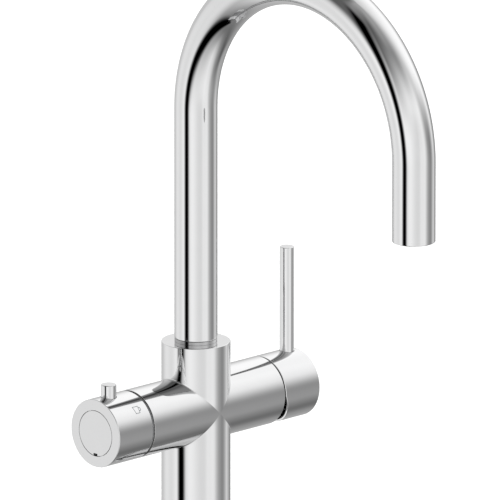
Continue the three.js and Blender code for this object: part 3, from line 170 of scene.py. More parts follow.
FILLET = 0.8  # radius where the barrel meets the column
KNOB_MOUTH_CHAMFER = 1.4
# The liner is a near-black sleeve of painted shade inside the handle's mouth
LINER_WALL = (CONTROL_BORE, MOUTH_BORE - 0.05)  # inner and outer radius
LINER_SPAN = (HANDLE_MOUTH + 0.7, MOUTH_DEPTH - 0.1)  # its front at the top, and its back
SLIDE_RING = (20.4, 23.1, 21.45, 65.15)  # bore, foot and tip radius, place of the tip
PAD = (16.1, 94.45, 94.62)  # radius, back, front
THREAD_PITCH = 1.5
THREAD_DEPTH = 0.75
THREAD_TOP = -1.5
THREAD_FORM = ((0, 0), (0.15, 0), (0.5, 1), (0.65, 1))  # share of the pitch, and depth
NUT_FACE_LAND = 0.5  # a face's flat land ends this far inside the flats
NUT_BORE_BEVEL = 0.9
NUT_CHAMFER = math.tan(math.radians(30))
PRINT_PLACE = -74.6  # middle of the printed patch along the barrel
PRINT_ANGLE = 42.0  # degrees that it stands above the barrel's front
PRINT_WIDTH = 0.4
PRINT_RISE = 0.03
PRINT_ROOT = 0.05  # depth of the print's underside below the knob's surface
PRINT_STEP = 0.5  # longest distance between two points of a printed line
LEAST_MITRE = 0.4  # limits how far a printed line's sharp corner reaches out
CUP_BOWL = ((-2.9, 2.6), (1.9, 2.6), (1.3, -2.6), (-2.3, -2.6))
CUP_GRIP = ((1.95, 1.6), (3.1, 1.3), (3.1, -0.8), (1.6, -1.2))

# ---- Roundings of edges, in mm ----

STUB_EDGE = 0.7
NOZZLE_EDGE = 0.6
BOLD_EDGE = 0.5
EDGE = 0.4
CAST_EDGE = 0.35
SOFT_EDGE = 0.3
WASHER_EDGE = 0.25
FINE_EDGE = 0.2
THIN_EDGE = 0.15
SHARP_EDGE = 0.1

# ---- Fineness ----

ROUND = 192  # sides of the column, barrel and controls
TUBE_ROUND = 96
SMALL_ROUND = 64
NUT_ROUND = 96
PLAIN_ROWS = (80, 84)  # places of two plain rows between the handle's slanted mouth and its end
CORNER_STEPS = 4
FILLET_STEPS = 6
LIMB_STEPS = 6  # rows from the crossing to where a limb is plain round
LIMB_MARGIN = 2  # from the fillet to the plain round part
LIMB_START = 30  # where a limb's profile starts, from the crossing's middle
RISER_STEPS = 56
ARCH_STEPS = 128
DROP_STEPS = 20
SPRING_STEPS = 162
SPRING_ROUND = 12
SUPPORT = 0.15  # distance of the extra edge loop beside a rounded corner
SHARP_ANGLE = math.radians(32.0)
MERGE = 1e-4  # corners closer than this, in mm, are one
NO_ANGLE = 1e-6  # a fillet's arc below this angle, in radians, is a point
RIM_RUN = 2  # from a tube's end to the outline points that only give its rim a direction
OVERSHOOT = 1  # length by which a cutter passes the face that it cuts
HOLE_SPAN = (10, 26)  # a rod hole's cutter, from the barrel's axis


# ---- Profiles ----


def arc_between(start, end, steps):
    """Vectors turned from start to end, both of the same length."""
    angle = start.angle(end)
    points = []
    for i in range(steps + 1):
        t = i / steps
        a, b = math.sin((1 - t) * angle), math.sin(t * angle)
        points.append((start * a + end * b) / math.sin(angle))
    return points


def rounded_corner(before, corner, after, radius):
    """A support point, the arc that rounds the corner, and a support point."""
    to_before = (before - corner).normalized()
    to_after = (after - corner).normalized()
    half = to_before.angle(to_after) / 2
    reach = radius / math.tan(half)
    centre = corner + (to_before + to_after).normalized() * (radius / math.sin(half))
    arc = arc_between(
        corner + to_before * reach - centre, corner + to_after * reach - centre, CORNER_STEPS
    )
    first = corner + to_before * (reach + SUPPORT)
    last = corner + to_after * (reach + SUPPORT)
    return [first, *[centre + v for v in arc], last]


def profile(corners, closed=False):
    """Points of an outline of (radius, height) or (radius, height, rounding) corners."""
    count = len(corners)
    places = [Vector(c[:2]) for c in corners]
    points = []
    for i, corner in enumerate(corners):
        rounding = corner[2] if len(corner) > 2 else 0
        at_end = not closed and i in (0, count - 1)
        if rounding and not at_end:
            before, after = places[i - 1], places[(i + 1) % count]
            points += rounded_corner(before, places[i], after, rounding)
        else:
            points.append(places[i])
    return points + points[:1] if closed else points


# ---- Meshes ----


def ring_row(radius, height, sides):
    turn = 2 * math.pi / sides
    return [
        Vector((radius * math.cos(i * turn), radius * math.sin(i * turn), height))
        for i in range(sides)
    ]


def stitch(bm, rows, closed=True):
    """Quads between rows of points that have equal counts."""
    made = [[bm.verts.new(p) for p in row] for row in rows]
    count = len(rows[0])
    for low, high in zip(made, made[1:]):
        for i in range(count if closed else count - 1):
            j = (i + 1) % count
            bm.faces.new((low[i], low[j], high[j], high[i]))


def finish_mesh(bm, name):
    """Merges, orients and smooths a mesh, and turns millimetres into metres."""
    bmesh.ops.remove_doubles(bm, verts=bm.verts, dist=MERGE)
    bmesh.ops.dissolve_degenerate(bm, edges=bm.edges, dist=MERGE)
    bmesh.ops.recalc_face_normals(bm, faces=bm.faces)
    bmesh.ops.scale(bm, vec=(MM, MM, MM), verts=bm.verts)
    mesh = bpy.data.meshes.new(name)
    bm.to_mesh(mesh)
    bm.free()
    mesh.shade_smooth()
    mesh.set_sharp_from_angle(angle=SHARP_ANGLE)
    obj = bpy.data.objects.new(name, mesh)
    bpy.context.scene.collection.objects.link(obj)
    return obj


def subtract(obj, *cutters):
    """Cuts closed meshes out of a piece for good."""
    for cutter in cutters:
        modifier = obj.modifiers.new("cut", "BOOLEAN")
        modifier.operation = "DIFFERENCE"
        modifier.solver = "EXACT"
        modifier.object = cutter
    bpy.context.view_layer.update()
    graph = bpy.context.evaluated_depsgraph_get()
    mesh = bpy.data.meshes.new_from_object(obj.evaluated_get(graph))
    obj.modifiers.clear()
    obj.data = mesh
    mesh.shade_smooth()
    mesh.set_sharp_from_angle(angle=SHARP_ANGLE)
    for cutter in cutters:
        bpy.data.objects.remove(cutter)
    return obj


def lathe(name, points, sides, place=Matrix()):
    """A profile turned about Z and then put in place."""
    bm = bmesh.new()
    stitch(bm, [ring_row(p.x, p.y, sides) for p in points])
    bmesh.ops.transform(bm, matrix=place, verts=bm.verts)
    return finish_mesh(bm, name)


def rod(name, radius, low, high, sides, place=Matrix()):
    return lathe(name, profile([(0, low), (radius, low), (radius, high), (0, high)]), sides, place)


def arm_frame(side):
    """An arm's own frame, +Z outwards and +X up, on the barrel's axis."""
    up, outwards = Vector((0, 0, 1)), Vector((side, 0, 0))
    across = outwards.cross(up)
    turn = Matrix((up, across, outwards)).transposed().to_4x4()
    return Matrix.Translation((0, 0, BARREL_HEIGHT)) @ turn


def upright_on(side, distance):
    """A frame on the barrel's axis whose Z points up, at a distance along an arm."""
    return Matrix.Translation((side * distance, 0, BARREL_HEIGHT))


# ---- Node materials ----


class Nodes:
    """Short calls for building a node tree."""

    def __init__(self, tree):
        self.tree = tree
        tree.nodes.clear()

    def add(self, kind, inputs=(), **settings):
        node = self.tree.nodes.new(kind)
        for key, value in settings.items():
            setattr(node, key, value)
        for key, value in dict(inputs).items():
            if isinstance(value, bpy.types.NodeSocket):
                self.tree.links.new(value, node.inputs[key])
            else:
                node.inputs[key].default_value = value
        return node

    def math(self, operation, *values, clamp=False):
        node = self.add(
            "ShaderNodeMath", dict(enumerate(values)), operation=operation, use_clamp=clamp
        )
        return node.outputs[0]

    def remap(self, value, low, high, to_low=0.0, to_high=1.0, smooth=True):
        inputs = {"Value": value, "From Min": low, "From Max": high}
        inputs.update({"To Min": to_low, "To Max": to_high})
        kind = "SMOOTHSTEP" if smooth else "LINEAR"
        return self.add("ShaderNodeMapRange", inputs, interpolation_type=kind).outputs[0]

    def mix_number(self, factor, a, b):
        return self.add("ShaderNodeMix", {0: factor, 2: a, 3: b}, data_type="FLOAT").outputs[0]

    def mix_colour(self, factor, a, b):
        return self.add("ShaderNodeMix", {0: factor, 6: a, 7: b}, data_type="RGBA").outputs[2]

    def noise(self, vector, scale, detail=2.0, roughness=0.5):
        inputs = {"Scale": scale, "Detail": detail, "Roughness": roughness, "Vector": vector}
        return self.add("ShaderNodeTexNoise", inputs).outputs["Fac"]


# Noises: features per metre, detail, roughness
PATCHES = (60.0, 3.0, 0.6)
HAZE = (90.0, 4.0, 0.6)
WAVES = (45.0, 0.0, 0.5)
# The part of a noise's range that is spread over a surface's roughness
PATCH_RANGE = (0.3, 0.7)
HAZE_RANGE = (0.3, 0.75)
CHROME_DARK = (0.647, 0.648, 0.651, 1)
CHROME_LIGHT = (0.672, 0.673, 0.676, 1)
CHROME_ROUGHNESS = (0.03, 0.055)
WAVE_DEPTH = 2e-6  # m


def object_coordinates(nodes, scale=(1, 1, 1)):
    place = nodes.add("ShaderNodeTexCoord").outputs["Object"]
    return nodes.add("ShaderNodeMapping", {"Vector": place, "Scale": scale}).outputs[0]


def material(name, colour, metallic, roughness, spread, grain, bump, scale=(1, 1, 1)):
    """A surface whose colour, roughness and relief vary a little.

    spread is how much colour and roughness vary, grain how fine the relief is in
    features per metre, bump its depth in metres, and scale squeezes both along an axis.
    """
    made = bpy.data.materials.new(name)
    made.use_nodes = True
    nodes = Nodes(made.node_tree)
    place = object_coordinates(nodes, scale)
    patches = nodes.noise(place, *PATCHES)
    relief = nodes.noise(place, grain)
    dark = [c * (1 - spread) for c in colour] + [1]
    tint = nodes.mix_colour(patches, dark, [*colour, 1])
    smoothest, roughest = roughness * (1 - spread), roughness * (1 + spread)
    rough = nodes.remap(patches, *PATCH_RANGE, smoothest, roughest)
    height = nodes.add("ShaderNodeBump", {"Height": relief, "Strength": 1.0, "Distance": bump})
    shader = nodes.add(
        "ShaderNodeBsdfPrincipled",
        {"Base Color": tint, "Roughness": rough, "Normal": height.outputs[0], "Metallic": metallic},
    )
    nodes.add("ShaderNodeOutputMaterial", {"Surface": shader.outputs[0]})
    return made


def chrome_material():
    """Polished chrome plate: almost a mirror, with the faint waves and haze of buffing."""
    made = bpy.data.materials.new("polished_chrome")
    made.use_nodes = True
    nodes = Nodes(made.node_tree)
    place = object_coordinates(nodes)
    haze, waves = nodes.noise(place, *HAZE), nodes.noise(place, *WAVES)
    tint = nodes.mix_colour(haze, CHROME_DARK, CHROME_LIGHT)
    rough = nodes.remap(haze, *HAZE_RANGE, *CHROME_ROUGHNESS)
    bump = nodes.add("ShaderNodeBump", {"Height": waves, "Strength": 1.0, "Distance": WAVE_DEPTH})
    shader = nodes.add(
        "ShaderNodeBsdfPrincipled",
        {"Base Color": tint, "Metallic": 1.0, "Roughness": rough, "Normal": bump.outputs[0]},
    )
    nodes.add("ShaderNodeOutputMaterial", {"Surface": shader.outputs[0]})
    return made


MATERIALS = {
    "chrome": chrome_material(),
    # name, colour, metallic, roughness, spread, grain, bump, scale
    "brass": material(
        "machined_brass", (0.66, 0.53, 0.30), 1.0, 0.28, 0.18, 900.0, 8e-6, (1, 1, 9)
    ),
    "steel": material(
        "stainless_steel", (0.66, 0.66, 0.67), 1.0, 0.24, 0.15, 1200.0, 5e-6, (1, 1, 8)
    ),
    "rubber": material(
        "sealing_rubber", (0.018, 0.018, 0.02), 0.0, 0.62, 0.25, 2500.0, 2.5e-5
    ),
    "bearing_plastic": material(
        "grey_plastic", (0.27, 0.28, 0.29), 0.0, 0.42, 0.08, 1800.0, 1.2e-5
    ),
    "valve_plastic": material(
        "off_white_plastic", (0.66, 0.64, 0.58), 0.0, 0.40, 0.08, 1800.0, 1.2e-5
    ),
    "ceramic": material("lapped_ceramic", (0.80, 0.78, 0.70), 0.0, 0.14, 0.04, 4000.0, 2e-6),
    # near-black, painted shade inside the handle's mouth and on the parts seen through its seam
    "dark": material(
        "painted_shade_black", (0.008, 0.008, 0.009), 0.0, 0.7, 0.2, 1500.0, 6e-6
    ),
    "satin": material(
        "satin_ring", (0.55, 0.55, 0.553), 1.0, 0.10, 0.06, 900.0, 1e-6, (1, 1, 14)
    ),
    "slide": material("slide_plastic", (0.25, 0.255, 0.26), 0.0, 0.5, 0.08, 1800.0, 4e-6),
    "print": material("grey_print", (0.20, 0.23, 0.24), 0.0, 0.5, 0.1, 3000.0, 2e-6),
}


def dress(obj, body, slot, *nodes, look=None):
    """Gives a new piece the material of its slot, or of look where given, puts it on its body and
    hides the nodes that it stands for.
    """
    obj.data.materials.clear()
    obj.data.materials.append(MATERIALS[look or slot])
    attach(obj, body)
    if nodes:
        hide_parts(*nodes)
    return obj


# ---- Body ----


def crossing_row(side_of, reach, radius):
    """Row of points where the fillet touches the column or an arm, in that part's own frame."""
    turn = 2 * math.pi / ROUND
    row = []
    for i in range(ROUND):
        s = i * turn
        height = side_of * reach * abs(math.sin(s))
        row.append(Vector((radius * math.sin(s), -radius * math.cos(s), height)))
    return row


def level_row(radius, height):
    turn = 2 * math.pi / ROUND
    return [
        Vector((radius * math.sin(i * turn), -radius * math.cos(i * turn), height))
        for i in range(ROUND)
    ]


def between(low, high, parts):
    return [[a.lerp(b, k / parts) for a, b in zip(low, high)] for k in range(1, parts)]


def limb(bm, outline, side_of, place):
    """Half of the column or one arm: from the fillet's touch line along a profile."""
    touch = crossing_row(side_of, BODY_RADIUS + FILLET, BODY_RADIUS)
    clear = level_row(BODY_RADIUS, side_of * (BODY_RADIUS + FILLET + LIMB_MARGIN))
    rows = [touch, *between(touch, clear, LIMB_STEPS), clear]
    rows += [level_row(p.x, p.y) for p in outline]
    part = bmesh.new()
    stitch(part, rows)
    bmesh.ops.transform(part, matrix=place, verts=part.verts)
    mesh = bpy.data.meshes.new("limb")
    part.to_mesh(mesh)
    part.free()
    bm.from_mesh(mesh)
    bpy.data.meshes.remove(mesh)


def fillet_patch(bm, side_x, side_z):
    """The rolling-ball fillet in one of the four corners between barrel and column."""
    outer = BODY_RADIUS + FILLET
    rows = []
    for i in range(ROUND // 2 + 1):
        s = 2 * math.pi * i / ROUND
        sine, cosine = math.sin(s), math.cos(s)
        centre = Vector((side_x * outer * sine, -outer * cosine, side_z * outer * sine))
        to_column = Vector((-side_x * sine, cosine, 0)) * FILLET
        to_barrel = Vector((0, cosine, -side_z * sine)) * FILLET
        if to_column.angle(to_barrel) < NO_ANGLE:
            rows.append([centre + to_column] * (FILLET_STEPS + 1))
        else:
            rows.append([centre + v for v in arc_between(to_column, to_barrel, FILLET_STEPS)])
    lift = Vector((0, 0, BARREL_HEIGHT))
    stitch(bm, [[p + lift for p in row] for row in rows], closed=False)


def pierced_face(bm, loops):
    """A flat face with holes. The first loop is its rim."""
    verts = [bm.verts.new(p) for loop in loops for p in loop]
    for triangle in tessellate_polygon(loops):
        bm.faces.new([verts[i] for i in triangle])


def inlet_cap(bm):
    """The boss's lower face with its three inlets."""
    loops = [level_row(BOSS_RADIUS, INLET_FACE)]
    for degrees in INLET_ANGLES:
        angle = math.radians(degrees)
        centre = Vector((INLET_CIRCLE * math.cos(angle), INLET_CIRCLE * math.sin(angle), 0))
        low = [p + centre for p in ring_row(INLET_RADIUS, INLET_FACE, SMALL_ROUND)]
        high = [p + Vector((0, 0, INLET_DEPTH)) for p in low]
        loops.append(low)
        middle = centre + Vector((0, 0, INLET_FACE + INLET_DEPTH))
        stitch(bm, [low, high, [middle] * SMALL_ROUND])
    pierced_face(bm, loops)


def above_axis(corners):
    """A profile from corners above the worktop, with heights above the barrel's axis."""
    return profile([(radius, height - BARREL_HEIGHT, *rest) for radius, height, *rest in corners])


def body_casting():
    """Column and arms with their chambers, but without the CAD's waterways, which don't show."""
    bm = bmesh.new()
    lift = Matrix.Translation((0, 0, BARREL_HEIGHT))
    top = above_axis([
        (BODY_RADIUS, BARREL_HEIGHT + LIMB_START), (BODY_RADIUS, COLLAR_TOP, CAST_EDGE),
        (SOCKET_RADIUS, COLLAR_TOP, CAST_EDGE), (SOCKET_RADIUS, SOCKET_FLOOR),
        (PIPE_SEAL[0], SOCKET_FLOOR), PIPE_SEAL,
        (PIPE_SEAT[0], PIPE_SEAL[1]), PIPE_SEAT, (0, PIPE_SEAT[1]),
    ])
    limb(bm, top, 1, lift)
    bottom = above_axis([
        (BODY_RADIUS, BARREL_HEIGHT - LIMB_START), (BODY_RADIUS, BODY_BOTTOM, CAST_EDGE),
        (SHANK_BORE, BODY_BOTTOM, CAST_EDGE), (SHANK_BORE, SHANK_SEAT),
        (BOSS_RADIUS, SHANK_SEAT), (BOSS_RADIUS, INLET_FACE),
    ])
    limb(bm, bottom, -1, lift)
    arms = (
        (1, CARTRIDGE_CHAMBER, ARM_LENGTH, CAST_EDGE),
        (-1, VALVE_CHAMBER, KNOB_ARM_LENGTH, THIN_EDGE),
    )
    for side, (radius, outer, floor_place), end, edge in arms:
        arm = profile([
            (BODY_RADIUS, LIMB_START), (BODY_RADIUS, end, edge), (THREAD_RADIUS, end, edge),
            (THREAD_RADIUS, outer), (radius, outer), (radius, floor_place), (0, floor_place),
        ])
        # The arm's rows start at the front and turn upwards, as the fillet's do
        turn = Matrix(((0, 0, side, 0), (0, 1, 0, 0), (1, 0, 0, BARREL_HEIGHT), (0, 0, 0, 1)))
        limb(bm, arm, 1, turn)
    for side_x in (1, -1):
        for side_z in (1, -1):
            fillet_patch(bm, side_x, side_z)
    inlet_cap(bm)
    casting = finish_mesh(bm, "tap_body_casting")
    radius, height = SET_SCREW
    to_back = Matrix.Translation((0, 0, height * MM)) @ Matrix.Rotation(-math.pi / 2, 4, "X")
    hole = rod("hole", radius, SOCKET_RADIUS - OVERSHOOT, BODY_RADIUS + OVERSHOOT, SMALL_ROUND)
    hole.data.transform(to_back)
    return subtract(casting, hole)


# ---- Spout ----


def swan_neck():
    """Centre line points and directions: riser, arch and drop."""
    places = []
    for i in range(RISER_STEPS):
        z = TUBE_BOTTOM + (ARCH_START - TUBE_BOTTOM) * i / RISER_STEPS
        places.append((Vector((0, 0, z)), Vector((0, 0, 1))))
    for i in range(ARCH_STEPS + 1):
        a = math.pi * i / ARCH_STEPS
        y, z = ARCH_RADIUS * (math.cos(a) - 1), ARCH_START + ARCH_RADIUS * math.sin(a)
        places.append((Vector((0, y, z)), Vector((0, -math.sin(a), math.cos(a)))))
    for i in range(1, DROP_STEPS + 1):
        z = ARCH_START + (OUTLET_HEIGHT - ARCH_START) * i / DROP_STEPS
        places.append((Vector((0, -OUTLET_REACH, z)), Vector((0, 0, -1))))
    return places


def tube_row(centre, along, radius, sides):
    """A round section across the neck. Its second axis always lies along X."""
    side = Vector((1, 0, 0))
    up = along.cross(side)
    turn = 2 * math.pi / sides
    return [
        centre + side * (radius * math.cos(i * turn)) + up * (radius * math.sin(i * turn))
        for i in range(sides)
    ]


def rim_rows(centre, along, sides):
    """Rows that round a tube's end, from the outside to the inside. along points out of the end."""
    outline = profile([
        (TUBE_RADIUS, -RIM_RUN), (TUBE_RADIUS, 0, BOLD_EDGE),
        (TUBE_BORE, 0, BOLD_EDGE), (TUBE_BORE, -RIM_RUN),
    ])
    return [tube_row(centre + along * p.y, along, p.x, sides) for p in outline[1:-1]]


def flipped(row):
    """A row turned the other way round that starts at the same point."""
    return [row[0], *row[:0:-1]]


def spout_tube():
    places = swan_neck()
    outside = [tube_row(c, d, TUBE_RADIUS, TUBE_ROUND) for c, d in places[1:-1]]
    inside = [tube_row(c, d, TUBE_BORE, TUBE_ROUND) for c, d in places[1:-1]]
    (start, first), (end, last) = places[0], places[-1]
    outlet = rim_rows(end, last, TUBE_ROUND)
    foot = [flipped(row) for row in rim_rows(start, -first, TUBE_ROUND)]
    rows = outside + outlet + inside[::-1] + foot[::-1]
    bm = bmesh.new()
    stitch(bm, [*rows, rows[0]])
    return finish_mesh(bm, "spout_neck")


# ---- Mixer handle ----


def rod_hole(side, held):
    """The cutter of the hole in which a control's lever or stub stands."""
    place, radius, _ = held
    return rod("hole", radius + HOLE_PLAY, *HOLE_SPAN, SMALL_ROUND, upright_on(side, place))


def slanted_row(radius, distance, slope):
    """A row round the handle's axis. Below the axis it is set back, the more the lower it lies."""
    turn = 2 * math.pi / ROUND
    made = []
    for i in range(ROUND):
        up, across = radius * math.cos(i * turn), radius * math.sin(i * turn)
        made.append(Vector((up, across, distance + slope * max(0.0, -up))))
    return made


def handle_shell():
    """A cup with a hub. The lower half of its mouth is cut back at a slope.

    The hub's small holes for the lever's stud and the set screw are left out.
    """
    stem_radius, stem_floor = STEM_SOCKET
    hub_end = HANDLE_MOUTH + HUB_INSET
    mouth = profile([
        (MOUTH_BORE, MOUTH_DEPTH), (MOUTH_BORE, HANDLE_MOUTH, FINE_EDGE),
        (BODY_RADIUS, HANDLE_MOUTH, EDGE), (BODY_RADIUS, PLAIN_ROWS[0]),
    ])
    end = profile([(BODY_RADIUS, PLAIN_ROWS[1]), (BODY_RADIUS, BARREL_END, EDGE), (0, BARREL_END)])
    inside = profile([
        (0, stem_floor), (stem_radius, stem_floor), (stem_radius, hub_end),
        (HUB_RADIUS, hub_end, EDGE), (HUB_RADIUS, CONTROL_FLOOR),
        (CONTROL_BORE, CONTROL_FLOOR), (CONTROL_BORE, MOUTH_DEPTH),
    ])
    bm = bmesh.new()
    rows = [slanted_row(p.x, p.y, 0) for p in inside]
    rows += [slanted_row(p.x, p.y, BEVEL_SLOPE if p.y < MOUTH_DEPTH else 0) for p in mouth]
    rows += [slanted_row(p.x, p.y, 0) for p in end]
    stitch(bm, rows)
    bmesh.ops.transform(bm, matrix=arm_frame(1), verts=bm.verts)
    shell = finish_mesh(bm, "mixer_handle")
    place, radius, *_ = PLUG
    low, high = (-height for height in reversed(HOLE_SPAN))
    plug_hole = rod("hole", radius + HOLE_PLAY, low, high, SMALL_ROUND, upright_on(1, place))
    return subtract(shell, rod_hole(1, LEVER), plug_hole)


def handle_liner():
    """A near-black sleeve inside the handle's mouth: painted shade that shows in the slanted gap.
    """
    inner, outer = LINER_WALL
    front, back = LINER_SPAN
    rows = [
        slanted_row(outer, front, BEVEL_SLOPE), slanted_row(inner, front, BEVEL_SLOPE),
        slanted_row(inner, back, 0), slanted_row(outer, back, 0),
    ]
    bm = bmesh.new()
    stitch(bm, [*rows, rows[0]])
    bmesh.ops.transform(bm, matrix=arm_frame(1), verts=bm.verts)
    return finish_mesh(bm, "handle_liner")


def lever():
    place, radius, top = LEVER
    stud, stud_end, foot = LEVER_STUD_RADIUS, LEVER_STUD_END, LEVER_FOOT
    outline = profile([
        (0, stud_end), (stud, stud_end), (stud, foot), (radius, foot, FINE_EDGE),
        (radius, top, BOLD_EDGE), (0, top),
    ])
    return lathe("mixer_lever", outline, SMALL_ROUND, upright_on(1, place))


# ---- Boiling-water knob ----


def knob_shell():
    bore, centre_bore = CONTROL_BORE, KNOB_CENTRE_BORE
    seat_radius, seat_floor = COVER_SEAT
    outline = profile([
        (bore, CONTROL_FLOOR), (bore, KNOB_MOUTH + KNOB_MOUTH_CHAMFER),
        (bore + KNOB_MOUTH_CHAMFER, KNOB_MOUTH, SHARP_EDGE), (BODY_RADIUS, KNOB_MOUTH, FINE_EDGE),
        (BODY_RADIUS, BARREL_END, EDGE), (seat_radius, BARREL_END, THIN_EDGE),
        (seat_radius, seat_floor), (centre_bore, seat_floor), (centre_bore, CONTROL_FLOOR),
    ], closed=True)
    shell = lathe("boiling_knob", outline, ROUND, arm_frame(-1))
    return subtract(shell, rod_hole(-1, STUB))


def knob_pin():
    place, radius, top = STUB
    outline = profile([(0, STUB_FOOT), (radius, STUB_FOOT), (radius, top, STUB_EDGE), (0, top)])
    return lathe("boiling_knob_stub", outline, SMALL_ROUND, upright_on(-1, place))


def cover_disc():
    radius, back = COVER
    outline = profile([(0, back), (radius, back), (radius, BARREL_END, THIN_EDGE), (0, BARREL_END)])
    disc = lathe("knob_cover", outline, ROUND, arm_frame(-1))
    notch = bmesh.new()
    bmesh.ops.create_cube(notch, size=1)
    bmesh.ops.scale(notch, vec=COVER_NOTCH, verts=notch.verts)
    bmesh.ops.translate(notch, vec=COVER_NOTCH_PLACE, verts=notch.verts)
    return subtract(disc, finish_mesh(notch, "notch"))


# ---- Base ----


def base_ring():
    radius, height = FLANGE
    groove_inner, groove_outer, depth = FLANGE_GROOVE
    outline = profile([
        (groove_outer, 0, SHARP_EDGE), (radius, 0, FINE_EDGE), (radius, height, EDGE),
        (SHANK_BORE, height, FINE_EDGE), (SHANK_BORE, 0, SHARP_EDGE), (groove_inner, 0, SHARP_EDGE),
        (groove_inner, depth), (groove_outer, depth),
    ], closed=True)
    return lathe("base_flange", outline, ROUND)


def swivel_ring():
    low, high = RING_SPAN
    outline = profile([
        (SOCKET_RADIUS, low), (RING_RADIUS, low, SHARP_EDGE), (RING_RADIUS, high, SHARP_EDGE),
        (SOCKET_RADIUS, high),
    ], closed=True)
    return lathe("spout_ring", outline, ROUND)


# ---- Fixings under the worktop ----


def thread_point(angle, height, root):
    """A point of the shank's thread, which starts at a lead-in and runs out at its top."""
    lead_in = 1 - (height - SHANK_BOTTOM) / THREAD_DEPTH
    run_out = (THREAD_TOP - height) / THREAD_PITCH
    depth = THREAD_DEPTH * max(root * min(1, run_out), lead_in, 0)
    radius = SHANK_RADIUS - depth
    return Vector((radius * math.cos(angle), radius * math.sin(angle), height))


def threaded_shank():
    """A tube with a helical thread. Its rows climb one pitch in each turn."""
    turns = math.ceil((THREAD_TOP - SHANK_BOTTOM) / THREAD_PITCH)
    form = len(THREAD_FORM)
    rows = []
    for k in range(-form, form * turns + 1):
        share, root = THREAD_FORM[k % form]
        start = SHANK_BOTTOM + (k // form + share) * THREAD_PITCH
        row = []
        for i in range(SMALL_ROUND + 1):
            climbed = start + THREAD_PITCH * i / SMALL_ROUND
            height = min(max(climbed, SHANK_BOTTOM), THREAD_TOP)
            row.append(thread_point(2 * math.pi * i / SMALL_ROUND, height, root))
        rows.append(row)
    bm = bmesh.new()
    stitch(bm, rows, closed=False)
    rest = profile([
        (SHANK_RADIUS, THREAD_TOP), (SHANK_RADIUS, SHANK_TOP, SOFT_EDGE),
        (SHANK_INNER, SHANK_TOP, SOFT_EDGE), (SHANK_INNER, SHANK_BOTTOM, BOLD_EDGE),
        (SHANK_RADIUS - THREAD_DEPTH, SHANK_BOTTOM),
    ])
    stitch(bm, [ring_row(p.x, p.y, SMALL_ROUND) for p in rest])
    return finish_mesh(bm, "threaded_shank")


def hex_radius(angle):
    """Distance from a nut's axis to its side, with corners on the Y axis."""
    within = (angle + math.pi / 6) % (math.pi / 3) - math.pi / 6
    return NUT_FLATS / 2 / math.cos(within)


def shank_nut():
    """A hexagon nut whose corners are chamfered on both faces."""
    low, high = NUT_SPAN
    flat, bore, bevel = NUT_FLATS / 2 - NUT_FACE_LAND, SHANK_BORE, NUT_BORE_BEVEL
    angles = [2 * math.pi * i / NUT_ROUND for i in range(NUT_ROUND)]

    def row(radius, height, drop=0):
        """A row round the nut. Without a radius it follows the hexagon's sides."""
        made = []
        for a in angles:
            r = hex_radius(a) if radius is None else radius
            fall = drop * (r - flat) * NUT_CHAMFER
            made.append(Vector((r * math.cos(a), r * math.sin(a), height - fall)))
        return made

    bm = bmesh.new()
    rows = [
        row(bore, low + bevel), row(bore + bevel, low), row(flat, low), row(None, low, -1),
        row(None, high, 1), row(flat, high), row(bore + bevel, high), row(bore, high - bevel),
    ]
    stitch(bm, [*rows, rows[0]])
    return finish_mesh(bm, "backing_nut")


def washer(name, radius, span, rounding, bore=SHANK_BORE):
    low, high = span
    outline = profile([
        (bore, low, rounding), (radius, low, rounding),
        (radius, high, rounding), (bore, high, rounding),
    ], closed=True)
    return lathe(name, outline, ROUND)


# ---- Outlet ----

AT_OUTLET = Matrix.Translation((0, -OUTLET_REACH, 0))


def at_aerator(corners):
    """A closed profile whose corners' heights are above the aerator's bottom."""
    raised = [(radius, AERATOR_BOTTOM + height, *rest) for radius, height, *rest in corners]
    return profile(raised, closed=True)


def aerator_housing():
    radius, height = AERATOR_RADIUS, AERATOR_HEIGHT
    groove, groove_low, groove_high = AERATOR_GROOVE
    lip, lip_height = AERATOR_LIP
    outline = at_aerator([
        (lip, 0, FINE_EDGE), (radius, 0, BOLD_EDGE), (radius, groove_low), (groove, groove_low),
        (groove, groove_high), (radius, groove_high), (radius, height, SOFT_EDGE),
        (AERATOR_BORE, height, SOFT_EDGE), (AERATOR_BORE, lip_height), (lip, lip_height, FINE_EDGE),
    ])
    return lathe("aerator_ring", outline, TUBE_ROUND, AT_OUTLET)


def honeycomb_centres(pitch, inner, outer):
    """Centres of the honeycomb's holes, between a round hole and a rim."""
    step = pitch * math.sqrt(3) / 2
    reach = math.ceil(outer / step)
    centres = []
    for row in range(-reach, reach + 1):
        for column in range(-reach - 1, reach + 1):
            centre = Vector(((column + (0.5 if row % 2 else 0)) * pitch, row * step, 0))
            if inner < centre.length < outer:
                centres.append(centre)
    return centres


def aerator_grille():
    low, high = (AERATOR_BOTTOM + height for height in GRILLE_SPAN)
    cell = GRILLE_CELL / math.sqrt(3)
    inner, outer = GRILLE_HOLE + GRILLE_RIB + cell, GRILLE_RADIUS - GRILLE_RIB - cell
    loops = [ring_row(GRILLE_RADIUS, 0, TUBE_ROUND), ring_row(GRILLE_HOLE, 0, SMALL_ROUND)]
    for centre in honeycomb_centres(GRILLE_CELL + GRILLE_RIB, inner, outer):
        corners = [math.radians(30 + 60 * i) for i in range(6)]
        loops.append([centre + Vector((math.cos(a), math.sin(a), 0)) * cell for a in corners])
    bm = bmesh.new()
    for height in (low, high):
        pierced_face(bm, [[p + Vector((0, 0, height)) for p in loop] for loop in loops])
    for loop in loops:
        stitch(bm, [[p + Vector((0, 0, height)) for p in loop] for height in (low, high)])
    bmesh.ops.transform(bm, matrix=AT_OUTLET, verts=bm.verts)
    return finish_mesh(bm, "aerator_honeycomb")


